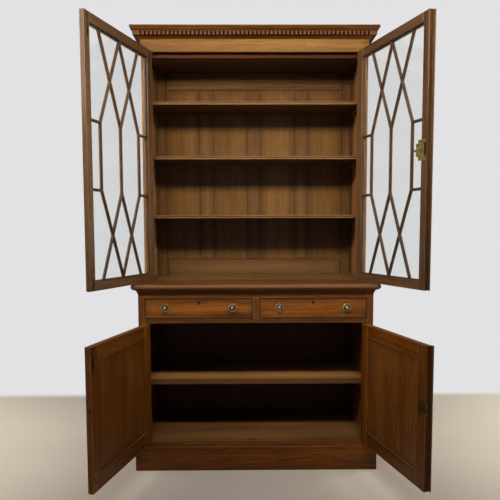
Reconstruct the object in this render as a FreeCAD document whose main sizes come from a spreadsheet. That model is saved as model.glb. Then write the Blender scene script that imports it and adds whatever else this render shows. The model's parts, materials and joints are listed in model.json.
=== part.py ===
"""Glazed bookcase: a shallow upper case with latticed doors on a deeper cupboard base with two drawers.

Millimetres. X runs to the right, Y to the back and Z up. The origin is the centre of the base on the
floor. All four doors stand open, as far as the two angles in the sheet say, and both drawers are shut.
Right-hand pieces are the left-hand ones mirrored in the plane X = 0.
"""
import FreeCAD, Part
import math
import os
import Sketcher

doc = FreeCAD.newDocument("GlazedBookcase")
sheet = doc.addObject("Spreadsheet::Sheet", "Sizes")
sheet_rows = []
sub_parts = []
nothing = 1e-6


# ---------------------------------------------------------------------------------------------------
# Lengths that remember their formula
# ---------------------------------------------------------------------------------------------------
class Length:
    """A number with the formula that ties it to the sheet."""

    def __init__(self, number, formula):
        self.number = float(number)
        self.formula = formula

    def __float__(self):
        return self.number

    def __neg__(self):
        return Length(-self.number, "(-1 * %s)" % self.formula)

    def __add__(self, other):
        return Length(self.number + float(other), "(%s + %s)" % (self.formula, formula_of(other)))

    def __radd__(self, other):
        return self + other

    def __sub__(self, other):
        return Length(self.number - float(other), "(%s - %s)" % (self.formula, formula_of(other)))

    def __rsub__(self, other):
        return -self + other

    def __mul__(self, other):
        return Length(self.number * float(other), "(%s * %s)" % (self.formula, formula_of(other)))

    def __rmul__(self, other):
        return self * other

    def __truediv__(self, other):
        return Length(self.number / float(other), "(%s / %s)" % (self.formula, formula_of(other)))


def formula_of(value):
    return value.formula if isinstance(value, Length) else "%.9g" % value


def whole(value):
    """The value rounded down, for counts."""
    return Length(math.floor(float(value) + nothing), "floor(%s + %f)" % (value.formula, nothing))


def root(value):
    """The square root of a value."""
    return Length(math.sqrt(float(value)), "sqrt(%s)" % value.formula)


def size(alias, number):
    """A driving dimension: a plain number in the sheet."""
    sheet_rows.append(alias)
    row = len(sheet_rows)
    sheet.set("A%d" % row, alias)
    sheet.set("B%d" % row, str(number))
    sheet.setAlias("B%d" % row, alias)
    return Length(number, "Sizes." + alias)


def derived(alias, value):
    """A size worked out from the driving dimensions, with a row of its own in the sheet."""
    sheet_rows.append(alias)
    row = len(sheet_rows)
    sheet.set("A%d" % row, alias)
    sheet.set("B%d" % row, "=" + value.formula.replace("Sizes.", ""))
    sheet.setAlias("B%d" % row, alias)
    return Length(value.number, "Sizes." + alias)


def bind(thing, path, value):
    thing.setExpression(path, formula_of(value))


# ---------------------------------------------------------------------------------------------------
# Driving dimensions
# ---------------------------------------------------------------------------------------------------
# Carcase
base_width = size("base_width", 1150)
base_depth = size("base_depth", 472)
upper_depth = size("upper_depth", 300)
side_thick = size("side_thick", 22)
back_thick = size("back_thick", 12)
seat_gap = size("seat_gap", 0.5)
overcut = size("overcut", 1)

# Base, from the floor up
plinth_height = size("plinth_height", 132)
plinth_thick = size("plinth_thick", 21)
plinth_mould = size("plinth_mould", 15)
bearer_width = size("bearer_width", 30)
floor_show = size("floor_show", 10)
floor_thick = size("floor_thick", 20)
base_stile_width = size("base_stile_width", 30)
base_stile_depth = size("base_stile_depth", 22)
lower_door_height = size("lower_door_height", 589)
rail_thick = size("rail_thick", 21)
drawer_rail_depth = size("drawer_rail_depth", 60)
drawer_space = size("drawer_space", 102)
muntin_width = size("muntin_width", 29)
cove_height = size("cove_height", 24)
cove_reach = size("cove_reach", 23)
waist_thick = size("waist_thick", 23)
waist_overhang = size("waist_overhang", 29)
waist_round = size("waist_round", 9)
lower_shelf_top = size("lower_shelf_top", 432)
lower_shelf_thick = size("lower_shelf_thick", 28)
lower_shelf_setback = size("lower_shelf_setback", 90)
shelf_bearer = size("shelf_bearer", 22)

# Upper case, from the waist up
upper_stile_width = size("upper_stile_width", 34)
upper_stile_depth = size("upper_stile_depth", 24)
upper_floor_thick = size("upper_floor_thick", 10)
upper_door_height = size("upper_door_height", 1154)
ceiling_drop = size("ceiling_drop", 9)
ceiling_thick = size("ceiling_thick", 15)
frieze_height = size("frieze_height", 61)
cornice_height = size("cornice_height", 54)
cornice_reach = size("cornice_reach", 46)
cornice_lip = size("cornice_lip", 10)
cornice_bead_round = size("cornice_bead_round", 2.4)
cornice_cove_round = size("cornice_cove_round", 28.6)
cornice_ovolo_round = size("cornice_ovolo_round", 14)
cornice_quirk = size("cornice_quirk", 1)
dust_board_thick = size("dust_board_thick", 10)

# Dentil course of the cornice
dentil_low = size("dentil_low", 12)
dentil_height = size("dentil_height", 16)
dentil_reach = size("dentil_reach", 34)
dentil_bed = size("dentil_bed", 26)
dentil_seat = size("dentil_seat", 14)
dentil_pitch = size("dentil_pitch", 20.6)
dentil_gap = size("dentil_gap", 9)
dentil_hood = size("dentil_hood", 2)

# Panelled back of the upper case
back_stile = size("back_stile", 59)
back_muntin = size("back_muntin", 80)
back_rail_low = size("back_rail_low", 100)
back_rail_drop = size("back_rail_drop", 91)
back_panel_thick = size("back_panel_thick", 6)
panel_tongue = size("panel_tongue", 6)

# Shelf racks, battens and shelves of the upper case
rack_width = size("rack_width", 24)
rack_reach = size("rack_reach", 12)
rack_pitch = size("rack_pitch", 25.4)
rack_first = size("rack_first", 15.6)
rack_notch = size("rack_notch", 10)
rack_land = size("rack_land", 2)
batten_height = size("batten_height", 22)
shelf_thick = size("shelf_thick", 14)
shelf_setback = size("shelf_setback", 50)
shelf_back_gap = size("shelf_back_gap", 3)
shelf_round = size("shelf_round", 4)
shelf_notches = [
    size("lowest_shelf_notch", 11),
    size("middle_shelf_notch", 23),
    size("highest_shelf_notch", 34),
]

# Doors
door_gap = size("door_gap", 2)
door_head_gap = size("door_head_gap", 3)
hinge_gap = size("hinge_gap", 1)
meeting_gap = size("meeting_gap", 2)
upper_open_angle = size("upper_open_angle", 110.15)
lower_open_angle = size("lower_open_angle", 104.5)
upper_door_thick = size("upper_door_thick", 22)
lower_door_thick = size("lower_door_thick", 24)
glazed_hinge_stile = size("glazed_hinge_stile", 52)
glazed_meeting_stile = size("glazed_meeting_stile", 42)
glazed_top_rail = size("glazed_top_rail", 47)
glazed_low_rail = size("glazed_low_rail", 45)
panelled_stile = size("panelled_stile", 60)
panelled_top_rail = size("panelled_top_rail", 60)
panelled_low_rail = size("panelled_low_rail", 68)
door_panel_thick = size("door_panel_thick", 9)
door_panel_recess = size("door_panel_recess", 7)
door_panel_tongue = size("door_panel_tongue", 8)

# Glazing
bar_spacing = size("bar_spacing", 154)
middle_light = size("middle_light", 290)
bar_width = size("bar_width", 13)
bar_rib = size("bar_rib", 4)
bar_setback = size("bar_setback", 1)
bar_round = size("bar_round", 4.8)
rebate_front = size("rebate_front", 9)
rebate_width = size("rebate_width", 7)
rib_setback = size("rib_setback", 4)
glass_thick = size("glass_thick", 2.5)
glass_clearance = size("glass_clearance", 1)

# Cover bead on the meeting edge of the right-hand doors
bead_width = size("bead_width", 16)
bead_proud = size("bead_proud", 6)
bead_lap = size("bead_lap", 7)
bead_relief = size("bead_relief", 0.6)
bead_round = size("bead_round", 2.5)

# Butt hinges
pin_proud = size("pin_proud", 4.5)
pin_radius = size("pin_radius", 1.8)
knuckle_radius = size("knuckle_radius", 4)
running_clearance = size("running_clearance", 0.05)
leaf_thick = size("leaf_thick", 2)
leaf_depth = size("leaf_depth", 16)
leaf_height = size("leaf_height", 64)
leaf_lap = size("leaf_lap", 1)
knuckle_split = size("knuckle_split", 0.2)
hinge_inset = size("hinge_inset", 75)

# Flush bolts of the left-hand doors
bolt_radius = size("bolt_radius", 3.5)
bolt_depth = size("bolt_depth", 8)
bolt_travel = size("bolt_travel", 12)
bolt_shy = size("bolt_shy", 1)
bolt_tail = size("bolt_tail", 8)
bolt_bore_spare = size("bolt_bore_spare", 3)
bolt_slot_spare = size("bolt_slot_spare", 14)
upper_bolt_inset = size("upper_bolt_inset", 23)
lower_bolt_inset = size("lower_bolt_inset", 16)
plate_thick = size("plate_thick", 1.6)
plate_proud = size("plate_proud", 0.4)
stud_radius = size("stud_radius", 2.2)
stud_head = size("stud_head", 3.8)
stud_proud = size("stud_proud", 4)
keeper_length = size("keeper_length", 34)
keeper_width = size("keeper_width", 15)
keeper_depth = size("keeper_depth", 16)
keeper_clearance = size("keeper_clearance", 1)

# Latch of the upper doors
latch_plate_width = size("latch_plate_width", 51)
latch_plate_height = size("latch_plate_height", 87)
latch_case_height = size("latch_case_height", 54)
latch_case_depth = size("latch_case_depth", 12)
latch_inset = size("latch_inset", 3)
latch_axis = size("latch_axis", 1519)
latch_bar = size("latch_bar", 8)
latch_bar_depth = size("latch_bar_depth", 6)
latch_travel = size("latch_travel", 7)
latch_grip = size("latch_grip", 3)
latch_knob_lap = size("latch_knob_lap", 2)
latch_shy = size("latch_shy", 1)
latch_knob_radius = size("latch_knob_radius", 5)
slide_clearance = size("slide_clearance", 0.3)

# Lock and pull of the lower right door
lock_width = size("lock_width", 50)
lock_height = size("lock_height", 53)
lock_axis = size("lock_axis", 480)
lock_depth = size("lock_depth", 11)
lock_bolt_height = size("lock_bolt_height", 14)
lock_bolt_thick = size("lock_bolt_thick", 5)
lock_bolt_length = size("lock_bolt_length", 24)
lock_travel = size("lock_travel", 7)
lock_mortise_spare = size("lock_mortise_spare", 2)
pull_axis = size("pull_axis", 430)
pull_inset = size("pull_inset", 20)
pull_radius = size("pull_radius", 10)
pull_proud = size("pull_proud", 7)

# Drawers
drawer_gap = size("drawer_gap", 1)
drawer_front_thick = size("drawer_front_thick", 20)
drawer_front_setback = size("drawer_front_setback", 1)
cock_bead = size("cock_bead", 3)
drawer_side_thick = size("drawer_side_thick", 10)
drawer_side_height = size("drawer_side_height", 92)
drawer_back_gap = size("drawer_back_gap", 9)
drawer_bottom_thick = size("drawer_bottom_thick", 6)
drawer_bottom_up = size("drawer_bottom_up", 8)
drawer_groove = size("drawer_groove", 5)
runner_play = size("runner_play", 0.3)
runner_thick = size("runner_thick", 15)
runner_width = size("runner_width", 35)
guide_height = size("guide_height", 20)
knob_up = size("knob_up", 53)
knob_spread = size("knob_spread", 164.5)
rose_radius = size("rose_radius", 20.5)
rose_thick = size("rose_thick", 3)
rose_dish = size("rose_dish", 12.7)
rose_floor = size("rose_floor", 1)
rose_round = size("rose_round", 2.4)
knob_neck = size("knob_neck", 4.5)
knob_flare = size("knob_flare", 4.5)
knob_head = size("knob_head", 9)
knob_reach = size("knob_reach", 24)
shank_radius = size("shank_radius", 3)
nut_radius = size("nut_radius", 7)
nut_thick = size("nut_thick", 4)
keyhole_up = size("keyhole_up", 80)
keyhole_radius = size("keyhole_radius", 5.5)
keyhole_drop = size("keyhole_drop", 11)
key_bore_drop = size("key_bore_drop", 8.25)
drawer_lock_width = size("drawer_lock_width", 52)
drawer_lock_height = size("drawer_lock_height", 40)
drawer_lock_depth = size("drawer_lock_depth", 10)
drawer_lock_drop = size("drawer_lock_drop", 1)
drawer_bolt_width = size("drawer_bolt_width", 26)
drawer_bolt_length = size("drawer_bolt_length", 17.5)
drawer_bolt_inset = size("drawer_bolt_inset", 2.5)
drawer_mortise_width = size("drawer_mortise_width", 34)
drawer_mortise_thick = size("drawer_mortise_thick", 9)
drawer_mortise_depth = size("drawer_mortise_depth", 9)

# ---------------------------------------------------------------------------------------------------
# Planes and levels worked out from them
# ---------------------------------------------------------------------------------------------------
half = derived("half_width", base_width / 2)
inner = derived("inner_half_width", half - side_thick)
front = derived("front_plane", -base_depth / 2)
back = derived("back_plane", base_depth / 2)
back_inner = derived("back_inner_plane", back - back_thick)
upper_front = derived("upper_front_plane", back - upper_depth)
bolt_slot_length = derived("bolt_slot_length", bolt_travel + bolt_slot_spare)

floor_top = derived("floor_top", plinth_height + floor_show)
lower_door_low = derived("lower_door_low", floor_top + door_gap)
lower_door_high = derived("lower_door_high", lower_door_low + lower_door_height)
drawer_rail_low = derived("drawer_rail_low", lower_door_high + door_gap)
drawer_floor = derived("drawer_floor", drawer_rail_low + rail_thick)
top_rail_low = derived("top_rail_low", drawer_floor + drawer_space)
base_top = derived("base_top", top_rail_low + rail_thick + cove_height)
waist_top = derived("waist_top", base_top + waist_thick)
base_opening = derived("base_opening", half - base_stile_width)

upper_floor_top = derived("upper_floor_top", waist_top + upper_floor_thick)
upper_door_low = derived("upper_door_low", waist_top + door_gap)
upper_door_high = derived("upper_door_high", upper_door_low + upper_door_height)
frieze_low = derived("frieze_low", upper_door_high + door_head_gap)
ceiling_high = derived("ceiling_high", frieze_low - ceiling_drop)
ceiling_low = derived("ceiling_low", ceiling_high - ceiling_thick)
cornice_low = derived("cornice_low", frieze_low + frieze_height)
cornice_high = derived("cornice_high", cornice_low + cornice_height)
case_top = derived("case_top", cornice_high - cornice_lip)
upper_opening = derived("upper_opening", half - upper_stile_width)
stop_plane = derived("stop_plane", upper_front + upper_stile_depth)


# ---------------------------------------------------------------------------------------------------
# Tools for making pieces
# ---------------------------------------------------------------------------------------------------
def board(name, x, y, z):
    """A squared piece between two planes each way."""
    box = doc.addObject("Part::Box", name)
    bind(box, "Length", x[1] - x[0])
    bind(box, "Width", y[1] - y[0])
    bind(box, "Height", z[1] - z[0])
    bind(box, "Placement.Base.x", x[0])
    bind(box, "Placement.Base.y", y[0])
    bind(box, "Placement.Base.z", z[0])
    return box


def place(thing, x, y, z):
    bind(thing, "Placement.Base.x", x)
    bind(thing, "Placement.Base.y", y)
    bind(thing, "Placement.Base.z", z)


def rod(name, x, y, z, radius):
    """An upright cylinder between two levels."""
    cylinder = doc.addObject("Part::Cylinder", name)
    bind(cylinder, "Radius", radius)
    bind(cylinder, "Height", z[1] - z[0])
    place(cylinder, x, y, z[0])
    return cylinder


def rod_along_y(name, x, y, z, radius):
    """A cylinder that runs from front to back."""
    cylinder = doc.addObject("Part::Cylinder", name)
    cylinder.Placement.Rotation = FreeCAD.Rotation(FreeCAD.Vector(1, 0, 0), -90)
    bind(cylinder, "Radius", radius)
    bind(cylinder, "Height", y[1] - y[0])
    place(cylinder, x, y[0], z)
    return cylinder


def group(name, *pieces):
    """Separate solids held together in one object."""
    compound = doc.addObject("Part::Compound", name)
    compound.Links = list(pieces)
    return compound


def union(name, *pieces):
    fusion = doc.addObject("Part::MultiFuse", name)
    fusion.Shapes = list(pieces)
    return fusion


def cut(name, base, *tools):
    """The base with the tools taken out of it."""
    result = doc.addObject("Part::Cut", name)
    result.Base = base
    result.Tool = tools[0] if len(tools) == 1 else union(name + "_tools", *tools)
    return result


def overlap(name, base, tool):
    """What two pieces have in common."""
    result = doc.addObject("Part::Common", name)
    result.Base = base
    result.Tool = tool
    return result


def mirrored(name, source):
    """The piece on the other side of the plane X = 0."""
    mirror = doc.addObject("Part::Mirroring", name)
    mirror.Source = source
    mirror.Base = FreeCAD.Vector(0, 0, 0)
    mirror.Normal = FreeCAD.Vector(1, 0, 0)
    return mirror


def sub_part(label, thing):
    """Name a finished piece, and keep it for the export."""
    thing.Label = label
    sub_parts.append(thing)
    return thing


def origin_feature(body, role):
    for feature in body.Origin.OriginFeatures:
        if feature.Role == role:
            return feature
    raise ValueError(role)


def arc_between(start, end, radius):
    """The arc from start to end; its centre lies on the left of the way there if the radius is positive."""
    chord = end - start
    reach = math.sqrt(max(radius * radius - chord.Length * chord.Length / 4, 0))
    left = FreeCAD.Vector(-chord.y, chord.x, 0).normalize()
    centre = (start + end) * 0.5 + left * math.copysign(reach, radius)
    first, last = (start, end) if radius > 0 else (end, start)
    angles = [math.atan2(point.y - centre.y, point.x - centre.x) for point in (first, last)]
    circle = Part.Circle(centre, FreeCAD.Vector(0, 0, 1), abs(radius))
    return Part.ArcOfCircle(circle, angles[0], angles[1])


def outline(sketch, corners, closed=True):
    """Draw an outline whose corners are tied to the sketch's origin.

    A corner is (x, y), or (x, y, radius) where an arc leads from it to the next corner.
    """
    points = [FreeCAD.Vector(float(corner[0]), float(corner[1]), 0) for corner in corners]
    edges = len(corners) if closed else len(corners) - 1
    starts, ends = [], []
    for index in range(edges):
        start, end = points[index], points[(index + 1) % len(points)]
        radius = float(corners[index][2]) if len(corners[index]) > 2 else 0.0
        if radius:
            sketch.addGeometry(arc_between(start, end, radius))
            label = "radius%d" % index
            number = sketch.addConstraint(Sketcher.Constraint("Radius", index, abs(radius)))
            sketch.renameConstraint(number, label)
            bind(sketch, "Constraints." + label, corners[index][2] if radius > 0 else -corners[index][2])
        else:
            sketch.addGeometry(Part.LineSegment(start, end))
        starts.append((index, 1 if radius >= 0 else 2))
        ends.append((index, 2 if radius >= 0 else 1))
    for index in range(edges if closed else edges - 1):
        joint = ends[index] + starts[(index + 1) % edges]
        sketch.addConstraint(Sketcher.Constraint("Coincident", *joint))
    for index, corner in enumerate(corners):
        geometry, end_point = starts[index] if index < edges else ends[-1]
        for axis, kind in enumerate(("DistanceX", "DistanceY")):
            label = "%s%d" % (kind, index)
            fixed = Sketcher.Constraint(kind, -1, 1, geometry, end_point, float(corner[axis]))
            number = sketch.addConstraint(fixed)
            sketch.renameConstraint(number, label)
            bind(sketch, "Constraints." + label, corner[axis])


def new_sketch(body, name, role, offset, corners):
    """A sketch on one of the body's own planes, moved along the plane's normal by the offset."""
    sketch = body.newObject("Sketcher::SketchObject", name)
    sketch.AttachmentSupport = [(origin_feature(body, role), "")]
    sketch.MapMode = "FlatFace"
    bind(sketch, "AttachmentOffset.Base.z", offset)
    outline(sketch, corners)
    return sketch


def new_pad(body, name, role, span, corners):
    """Pad an outline between two planes, measured along the normal of the sketch's plane."""
    sketch = new_sketch(body, name + "_sketch", role, span[0], corners)
    pad = body.newObject("PartDesign::Pad", name)
    pad.Profile = sketch
    bind(pad, "Length", span[1] - span[0])
    return pad


def prism(name, role, span, corners):
    """A body padded from one outline."""
    body = doc.addObject("PartDesign::Body", name)
    new_pad(body, name + "_pad", role, span, corners)
    return body


def repeated_cut(body, name, role, span, corners, axis, length, count):
    """Cut an outline between two planes, and repeat the cut along an axis of the body."""
    sketch = new_sketch(body, name + "_sketch", role, span[1], corners)
    pocket = body.newObject("PartDesign::Pocket", name)
    pocket.Profile = sketch
    bind(pocket, "Length", span[1] - span[0])
    doc.recompute()
    pattern = body.newObject("PartDesign::LinearPattern", name + "_pattern")
    pattern.Originals = [pocket]
    pattern.Direction = (origin_feature(body, axis), [""])
    bind(pattern, "Length", length)
    bind(pattern, "Occurrences", count)
    body.Tip = pattern
    return pattern


def moulding(name, profile):
    """Sweep a profile round the front and both sides of a case, mitred at the corners.

    The profile's corners are (reach out from the case, level), and the case face is given with it.
    """
    path = doc.addObject("Sketcher::SketchObject", name + "_path")
    face = profile["face"]
    outline(path, [(-half, back), (-half, face), (half, face), (half, back)], closed=False)
    section = doc.addObject("Sketcher::SketchObject", name + "_section")
    outline(section, profile["corners"])
    outward = FreeCAD.Vector(-1, 0, 0)
    upward = FreeCAD.Vector(0, 0, 1)
    section.Placement.Rotation = FreeCAD.Rotation(outward, upward, FreeCAD.Vector(0, 1, 0), "ZXY")
    place(section, -half, back, 0)
    sweep = doc.addObject("Part::Sweep", name)
    sweep.Sections = [section]
    sweep.Spine = (path, ["Edge1", "Edge2", "Edge3"])
    sweep.Solid = True
    sweep.Frenet = False
    sweep.Transition = "Right corner"
    return sweep


# ---------------------------------------------------------------------------------------------------
# Doors in their own frame: the hinge pin is the origin, X runs across the closed door, Y to the back
# ---------------------------------------------------------------------------------------------------
class Door:
    """Where a left-hand door hangs, and its faces in its own frame."""

    def __init__(self, name, opening, plane, low, high, thick, angle, hinge_count):
        self.name = name
        self.pin_x = derived(name + "_pin_x", hinge_gap / 2 - opening)
        self.pin_y = derived(name + "_pin_y", plane - pin_proud)
        self.low = low
        self.high = high
        self.angle = angle
        self.edge = hinge_gap / 2
        self.free_edge = derived(name + "_free_edge", opening - hinge_gap / 2 - meeting_gap / 2)
        self.face = pin_proud
        self.inside = derived(name + "_inside", pin_proud + thick)
        first = low + hinge_inset
        last = high - hinge_inset - leaf_height
        steps = hinge_count - 1
        self.hinge_levels = [first + (last - first) * (index / steps) for index in range(hinge_count)]

    def hang(self, name, *pieces):
        """Hold pieces together and swing them with the open door."""
        compound = group(name, *pieces)
        compound.Placement.Rotation = FreeCAD.Rotation(FreeCAD.Vector(0, 0, -1), 90)
        place(compound, self.pin_x, self.pin_y, 0)
        bind(compound, "Placement.Rotation.Angle", self.angle)
        return compound

    def to_case(self, x, y):
        """A point of the closed door, in the frame of the case."""
        return self.pin_x + x, self.pin_y + y


upper_door = Door("upper_door", upper_opening, upper_front, upper_door_low, upper_door_high,
                  upper_door_thick, upper_open_angle, 3)
lower_door = Door("lower_door", base_opening, front, lower_door_low, lower_door_high,
                  lower_door_thick, lower_open_angle, 2)


# ---------------------------------------------------------------------------------------------------
# Butt hinges: five knuckles, three on the case and two on the door
# ---------------------------------------------------------------------------------------------------
case_knuckles = (0, 2, 4)
door_knuckles = (1, 3)
knuckle_count = len(case_knuckles + door_knuckles)


def knuckle_levels(low, order):
    """The levels of one of the knuckles that share the leaf's height."""
    step = leaf_height / knuckle_count
    return low + step * order + knuckle_split / 2, low + step * (order + 1) - knuckle_split / 2


def knuckle(name, low, order):
    return rod(name, 0, 0, knuckle_levels(low, order), knuckle_radius)


def knuckle_link(name, low, order, x):
    return board(name, x, (0, pin_proud + leaf_lap), knuckle_levels(low, order))


def hinge_half(name, low, side, orders):
    """A leaf with its knuckles, on the door side (+1) or the case side (-1) of the pin."""
    near, far = hinge_gap / 2, hinge_gap / 2 + leaf_thick
    x = (near, far) if side > 0 else (-far, -near)
    pieces = [board(name + "_leaf", x, (pin_proud, pin_proud + leaf_depth), (low, low + leaf_height))]
    for order in orders:
        pieces.append(knuckle("%s_knuckle%d" % (name, order), low, order))
        pieces.append(knuckle_link("%s_link%d" % (name, order), low, order, x))
    return pieces


def moving_hinge(name, low):
    leaf = union(name + "_solid", *hinge_half(name, low, 1, door_knuckles))
    bore = rod(name + "_bore", 0, 0, (low - overcut, low + leaf_height + overcut),
               pin_radius + running_clearance)
    return cut(name, leaf, bore)


def fixed_hinge(name, low):
    pin = rod(name + "_pin", 0, 0, (low, low + leaf_height), pin_radius)
    return union(name, pin, *hinge_half(name, low, -1, case_knuckles))


def leaf_mortise(name, low, side):
    near, far = hinge_gap / 2 - overcut, hinge_gap / 2 + leaf_thick
    x = (near, far) if side > 0 else (-far, -near)
    return board(name, x, (pin_proud - overcut, pin_proud + leaf_depth), (low, low + leaf_height))


def door_mortises(door):
    return [leaf_mortise("%s_mortise%d" % (door.name, index), low, 1)
            for index, low in enumerate(door.hinge_levels)]


def case_mortises(door):
    """The mortises in the left-hand stile of the case."""
    tools = group(door.name + "_case_mortises",
                  *[leaf_mortise("%s_case_mortise%d" % (door.name, index), low, -1)
                    for index, low in enumerate(door.hinge_levels)])
    place(tools, door.pin_x, door.pin_y, 0)
    return tools


def door_hinges(door):
    leaves = [moving_hinge("%s_hinge%d" % (door.name, index), low)
              for index, low in enumerate(door.hinge_levels)]
    return door.hang(door.name + "_left_hinges", *leaves)


def case_hinges(door):
    leaves = group(door.name + "_case_hinges",
                   *[fixed_hinge("%s_case_hinge%d" % (door.name, index), low)
                     for index, low in enumerate(door.hinge_levels)])
    place(leaves, door.pin_x, door.pin_y, 0)
    return leaves


# ---------------------------------------------------------------------------------------------------
# Flush bolts
# ---------------------------------------------------------------------------------------------------
class FlushBolt:
    """A bolt let into the inner face of a door near its free edge, shooting up (+1) or down (-1).

    Its plate and the slot for its stud are each set back from the end of the door by an offset.
    """

    def __init__(self, name, door, inset, way, plate_offset, plate_length, plate_width, slot_offset):
        self.name = name
        self.x = door.free_edge - inset
        self.y = door.inside - bolt_depth
        self.way = way
        self.door = door
        self.door_end = door.high if way > 0 else door.low
        self.plate = self.set_back(size(name + "_plate_offset", plate_offset),
                                   size(name + "_plate_length", plate_length))
        self.plate_width = size(name + "_plate_width", plate_width)
        self.slot = self.set_back(size(name + "_slot_offset", slot_offset), bolt_slot_length)
        self.end = self.door_end - way * bolt_shy
        self.stud = self.slot[0] + stud_radius + 1 if way > 0 else self.slot[1] - stud_radius - 1

    def span(self, start, end):
        return (start, end) if self.way > 0 else (end, start)

    def set_back(self, offset, length):
        near = self.door_end - self.way * offset
        return self.span(near - self.way * length, near)

    def across(self, half_width):
        return (self.x - half_width, self.x + half_width)

    def bolt(self):
        shaft = rod(self.name + "_shaft", self.x, self.y,
                    self.span(self.stud - self.way * bolt_tail, self.end), bolt_radius)
        stud = rod_along_y(self.name + "_stud", self.x, (self.y, self.door.inside + stud_proud),
                           self.stud, stud_radius)
        head = rod_along_y(self.name + "_head", self.x,
                           (self.door.inside + plate_proud + slide_clearance, self.door.inside + stud_proud),
                           self.stud, stud_head)
        return union(self.name, shaft, stud, head)

    def cover_plate(self):
        inside = self.door.inside
        sheet_metal = board(self.name + "_sheet", self.across(self.plate_width / 2),
                            (inside + plate_proud - plate_thick, inside + plate_proud), self.plate)
        window = board(self.name + "_window", self.across(stud_radius + slide_clearance),
                       (inside - plate_thick - overcut, inside + plate_proud + overcut), self.slot)
        return cut(self.name + "_plate", sheet_metal, window)

    def cavities(self):
        """What is cut from the door: the plate's recess, the bore and the slot for the stud."""
        inside = self.door.inside
        recess = board(self.name + "_recess", self.across(self.plate_width / 2),
                       (inside + plate_proud - plate_thick, inside + overcut), self.plate)
        bore_start = self.stud - self.way * (bolt_tail + bolt_bore_spare)
        bore_end = self.end + self.way * (bolt_shy + overcut)
        bore = rod(self.name + "_bore", self.x, self.y, self.span(bore_start, bore_end),
                   bolt_radius + running_clearance)
        slot = board(self.name + "_slot", self.across(stud_radius + slide_clearance),
                     (self.y, inside), self.slot)
        return [recess, bore, slot]

    def keeper(self, surface):
        """The brass plate on the surface that the bolt shoots into, and what is cut from the wood there."""
        x, y = self.door.to_case(self.x, self.y)
        wide = (x - keeper_length / 2, x + keeper_length / 2)
        deep = (y - keeper_width / 2, y + keeper_width / 2)
        hole = bolt_radius + keeper_clearance
        plate_span = self.span(surface, surface + self.way * plate_thick)
        hole_span = self.span(surface - self.way * 1, surface + self.way * keeper_depth)
        blank = board(self.name + "_keeper_blank", wide, deep, plate_span)
        plate = cut(self.name + "_keeper", blank, rod(self.name + "_keeper_eye", x, y, hole_span, hole))
        recess = board(self.name + "_keeper_recess", wide, deep,
                       self.span(surface - self.way * 1, surface + self.way * plate_thick))
        hole_in_wood = rod(self.name + "_keeper_hole", x, y, hole_span, hole)
        return plate, [recess, hole_in_wood]


upper_top_bolt = FlushBolt("upper_top_bolt", upper_door, upper_bolt_inset, 1, 12, 90, 13, 68)
upper_low_bolt = FlushBolt("upper_low_bolt", upper_door, upper_bolt_inset, -1, 8, 102, 20, 28)
lower_top_bolt = FlushBolt("lower_top_bolt", lower_door, lower_bolt_inset, 1, 5, 104, 24, 60)
lower_low_bolt = FlushBolt("lower_low_bolt", lower_door, lower_bolt_inset, -1, 3, 82, 20, 36)

frieze_keeper, frieze_cavities = upper_top_bolt.keeper(frieze_low)
waist_keeper, waist_cavities = upper_low_bolt.keeper(waist_top)
rail_keeper, rail_cavities = lower_top_bolt.keeper(drawer_rail_low)
floor_keeper, floor_cavities = lower_low_bolt.keeper(floor_top)


# ---------------------------------------------------------------------------------------------------
# Base carcase
# ---------------------------------------------------------------------------------------------------
def case_side(name, plane, opening, stile_depth, levels):
    """A side board with its front stile, which reaches further in than the board."""
    return prism(name, "XY_Plane", levels, [
        (-half, plane),
        (-opening, plane),
        (-opening, plane + stile_depth),
        (-inner, plane + stile_depth),
        (-inner, back),
        (-half, back),
    ])


def base_sides():
    blank = case_side("base_side_blank", front, base_opening, base_stile_depth, (0, base_top))
    left = sub_part("base_side_left", cut("base_side_l", blank, case_mortises(lower_door)))
    sub_part("base_side_right", mirrored("base_side_r", left))


def base_floor():
    """The cupboard floor, notched round the stiles, with the hole for the lower bolt."""
    notch = front + base_stile_depth
    blank = prism("base_floor_blank", "XY_Plane", (floor_top - floor_thick, floor_top), [
        (-base_opening, front),
        (base_opening, front),
        (base_opening, notch),
        (inner, notch),
        (inner, back_inner),
        (-inner, back_inner),
        (-inner, notch),
        (-base_opening, notch),
    ])
    sub_part("base_floor", cut("base_floor_cut", blank, *floor_cavities))


def drawer_lock_centre():
    return -(muntin_width / 2 + base_opening) / 2


def base_front_rails():
    """The rail over the drawers, the rail under them and the muntin between them."""
    across = (-base_opening, base_opening)
    depth = (front, front + base_stile_depth)
    top_blank = board("top_rail_blank", across, depth, (top_rail_low, base_top))
    mortise_y = front + drawer_front_setback + drawer_front_thick - drawer_lock_depth
    middle = drawer_lock_centre()
    left = board("bolt_mortise_l", (middle - drawer_mortise_width / 2, middle + drawer_mortise_width / 2),
                 (mortise_y, mortise_y + drawer_mortise_thick),
                 (top_rail_low - overcut, top_rail_low + drawer_mortise_depth))
    top = cut("top_rail", top_blank, left, mirrored("bolt_mortise_r", left))
    low_blank = board("drawer_rail_blank", across, (front, front + drawer_rail_depth),
                      (drawer_rail_low, drawer_floor))
    low = cut("drawer_rail", low_blank, *rail_cavities)
    muntin = board("drawer_muntin", (-muntin_width / 2, muntin_width / 2), depth,
                   (drawer_floor, top_rail_low))
    sub_part("base_front_rails", group("base_front_rail_set", top, low, muntin))


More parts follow.
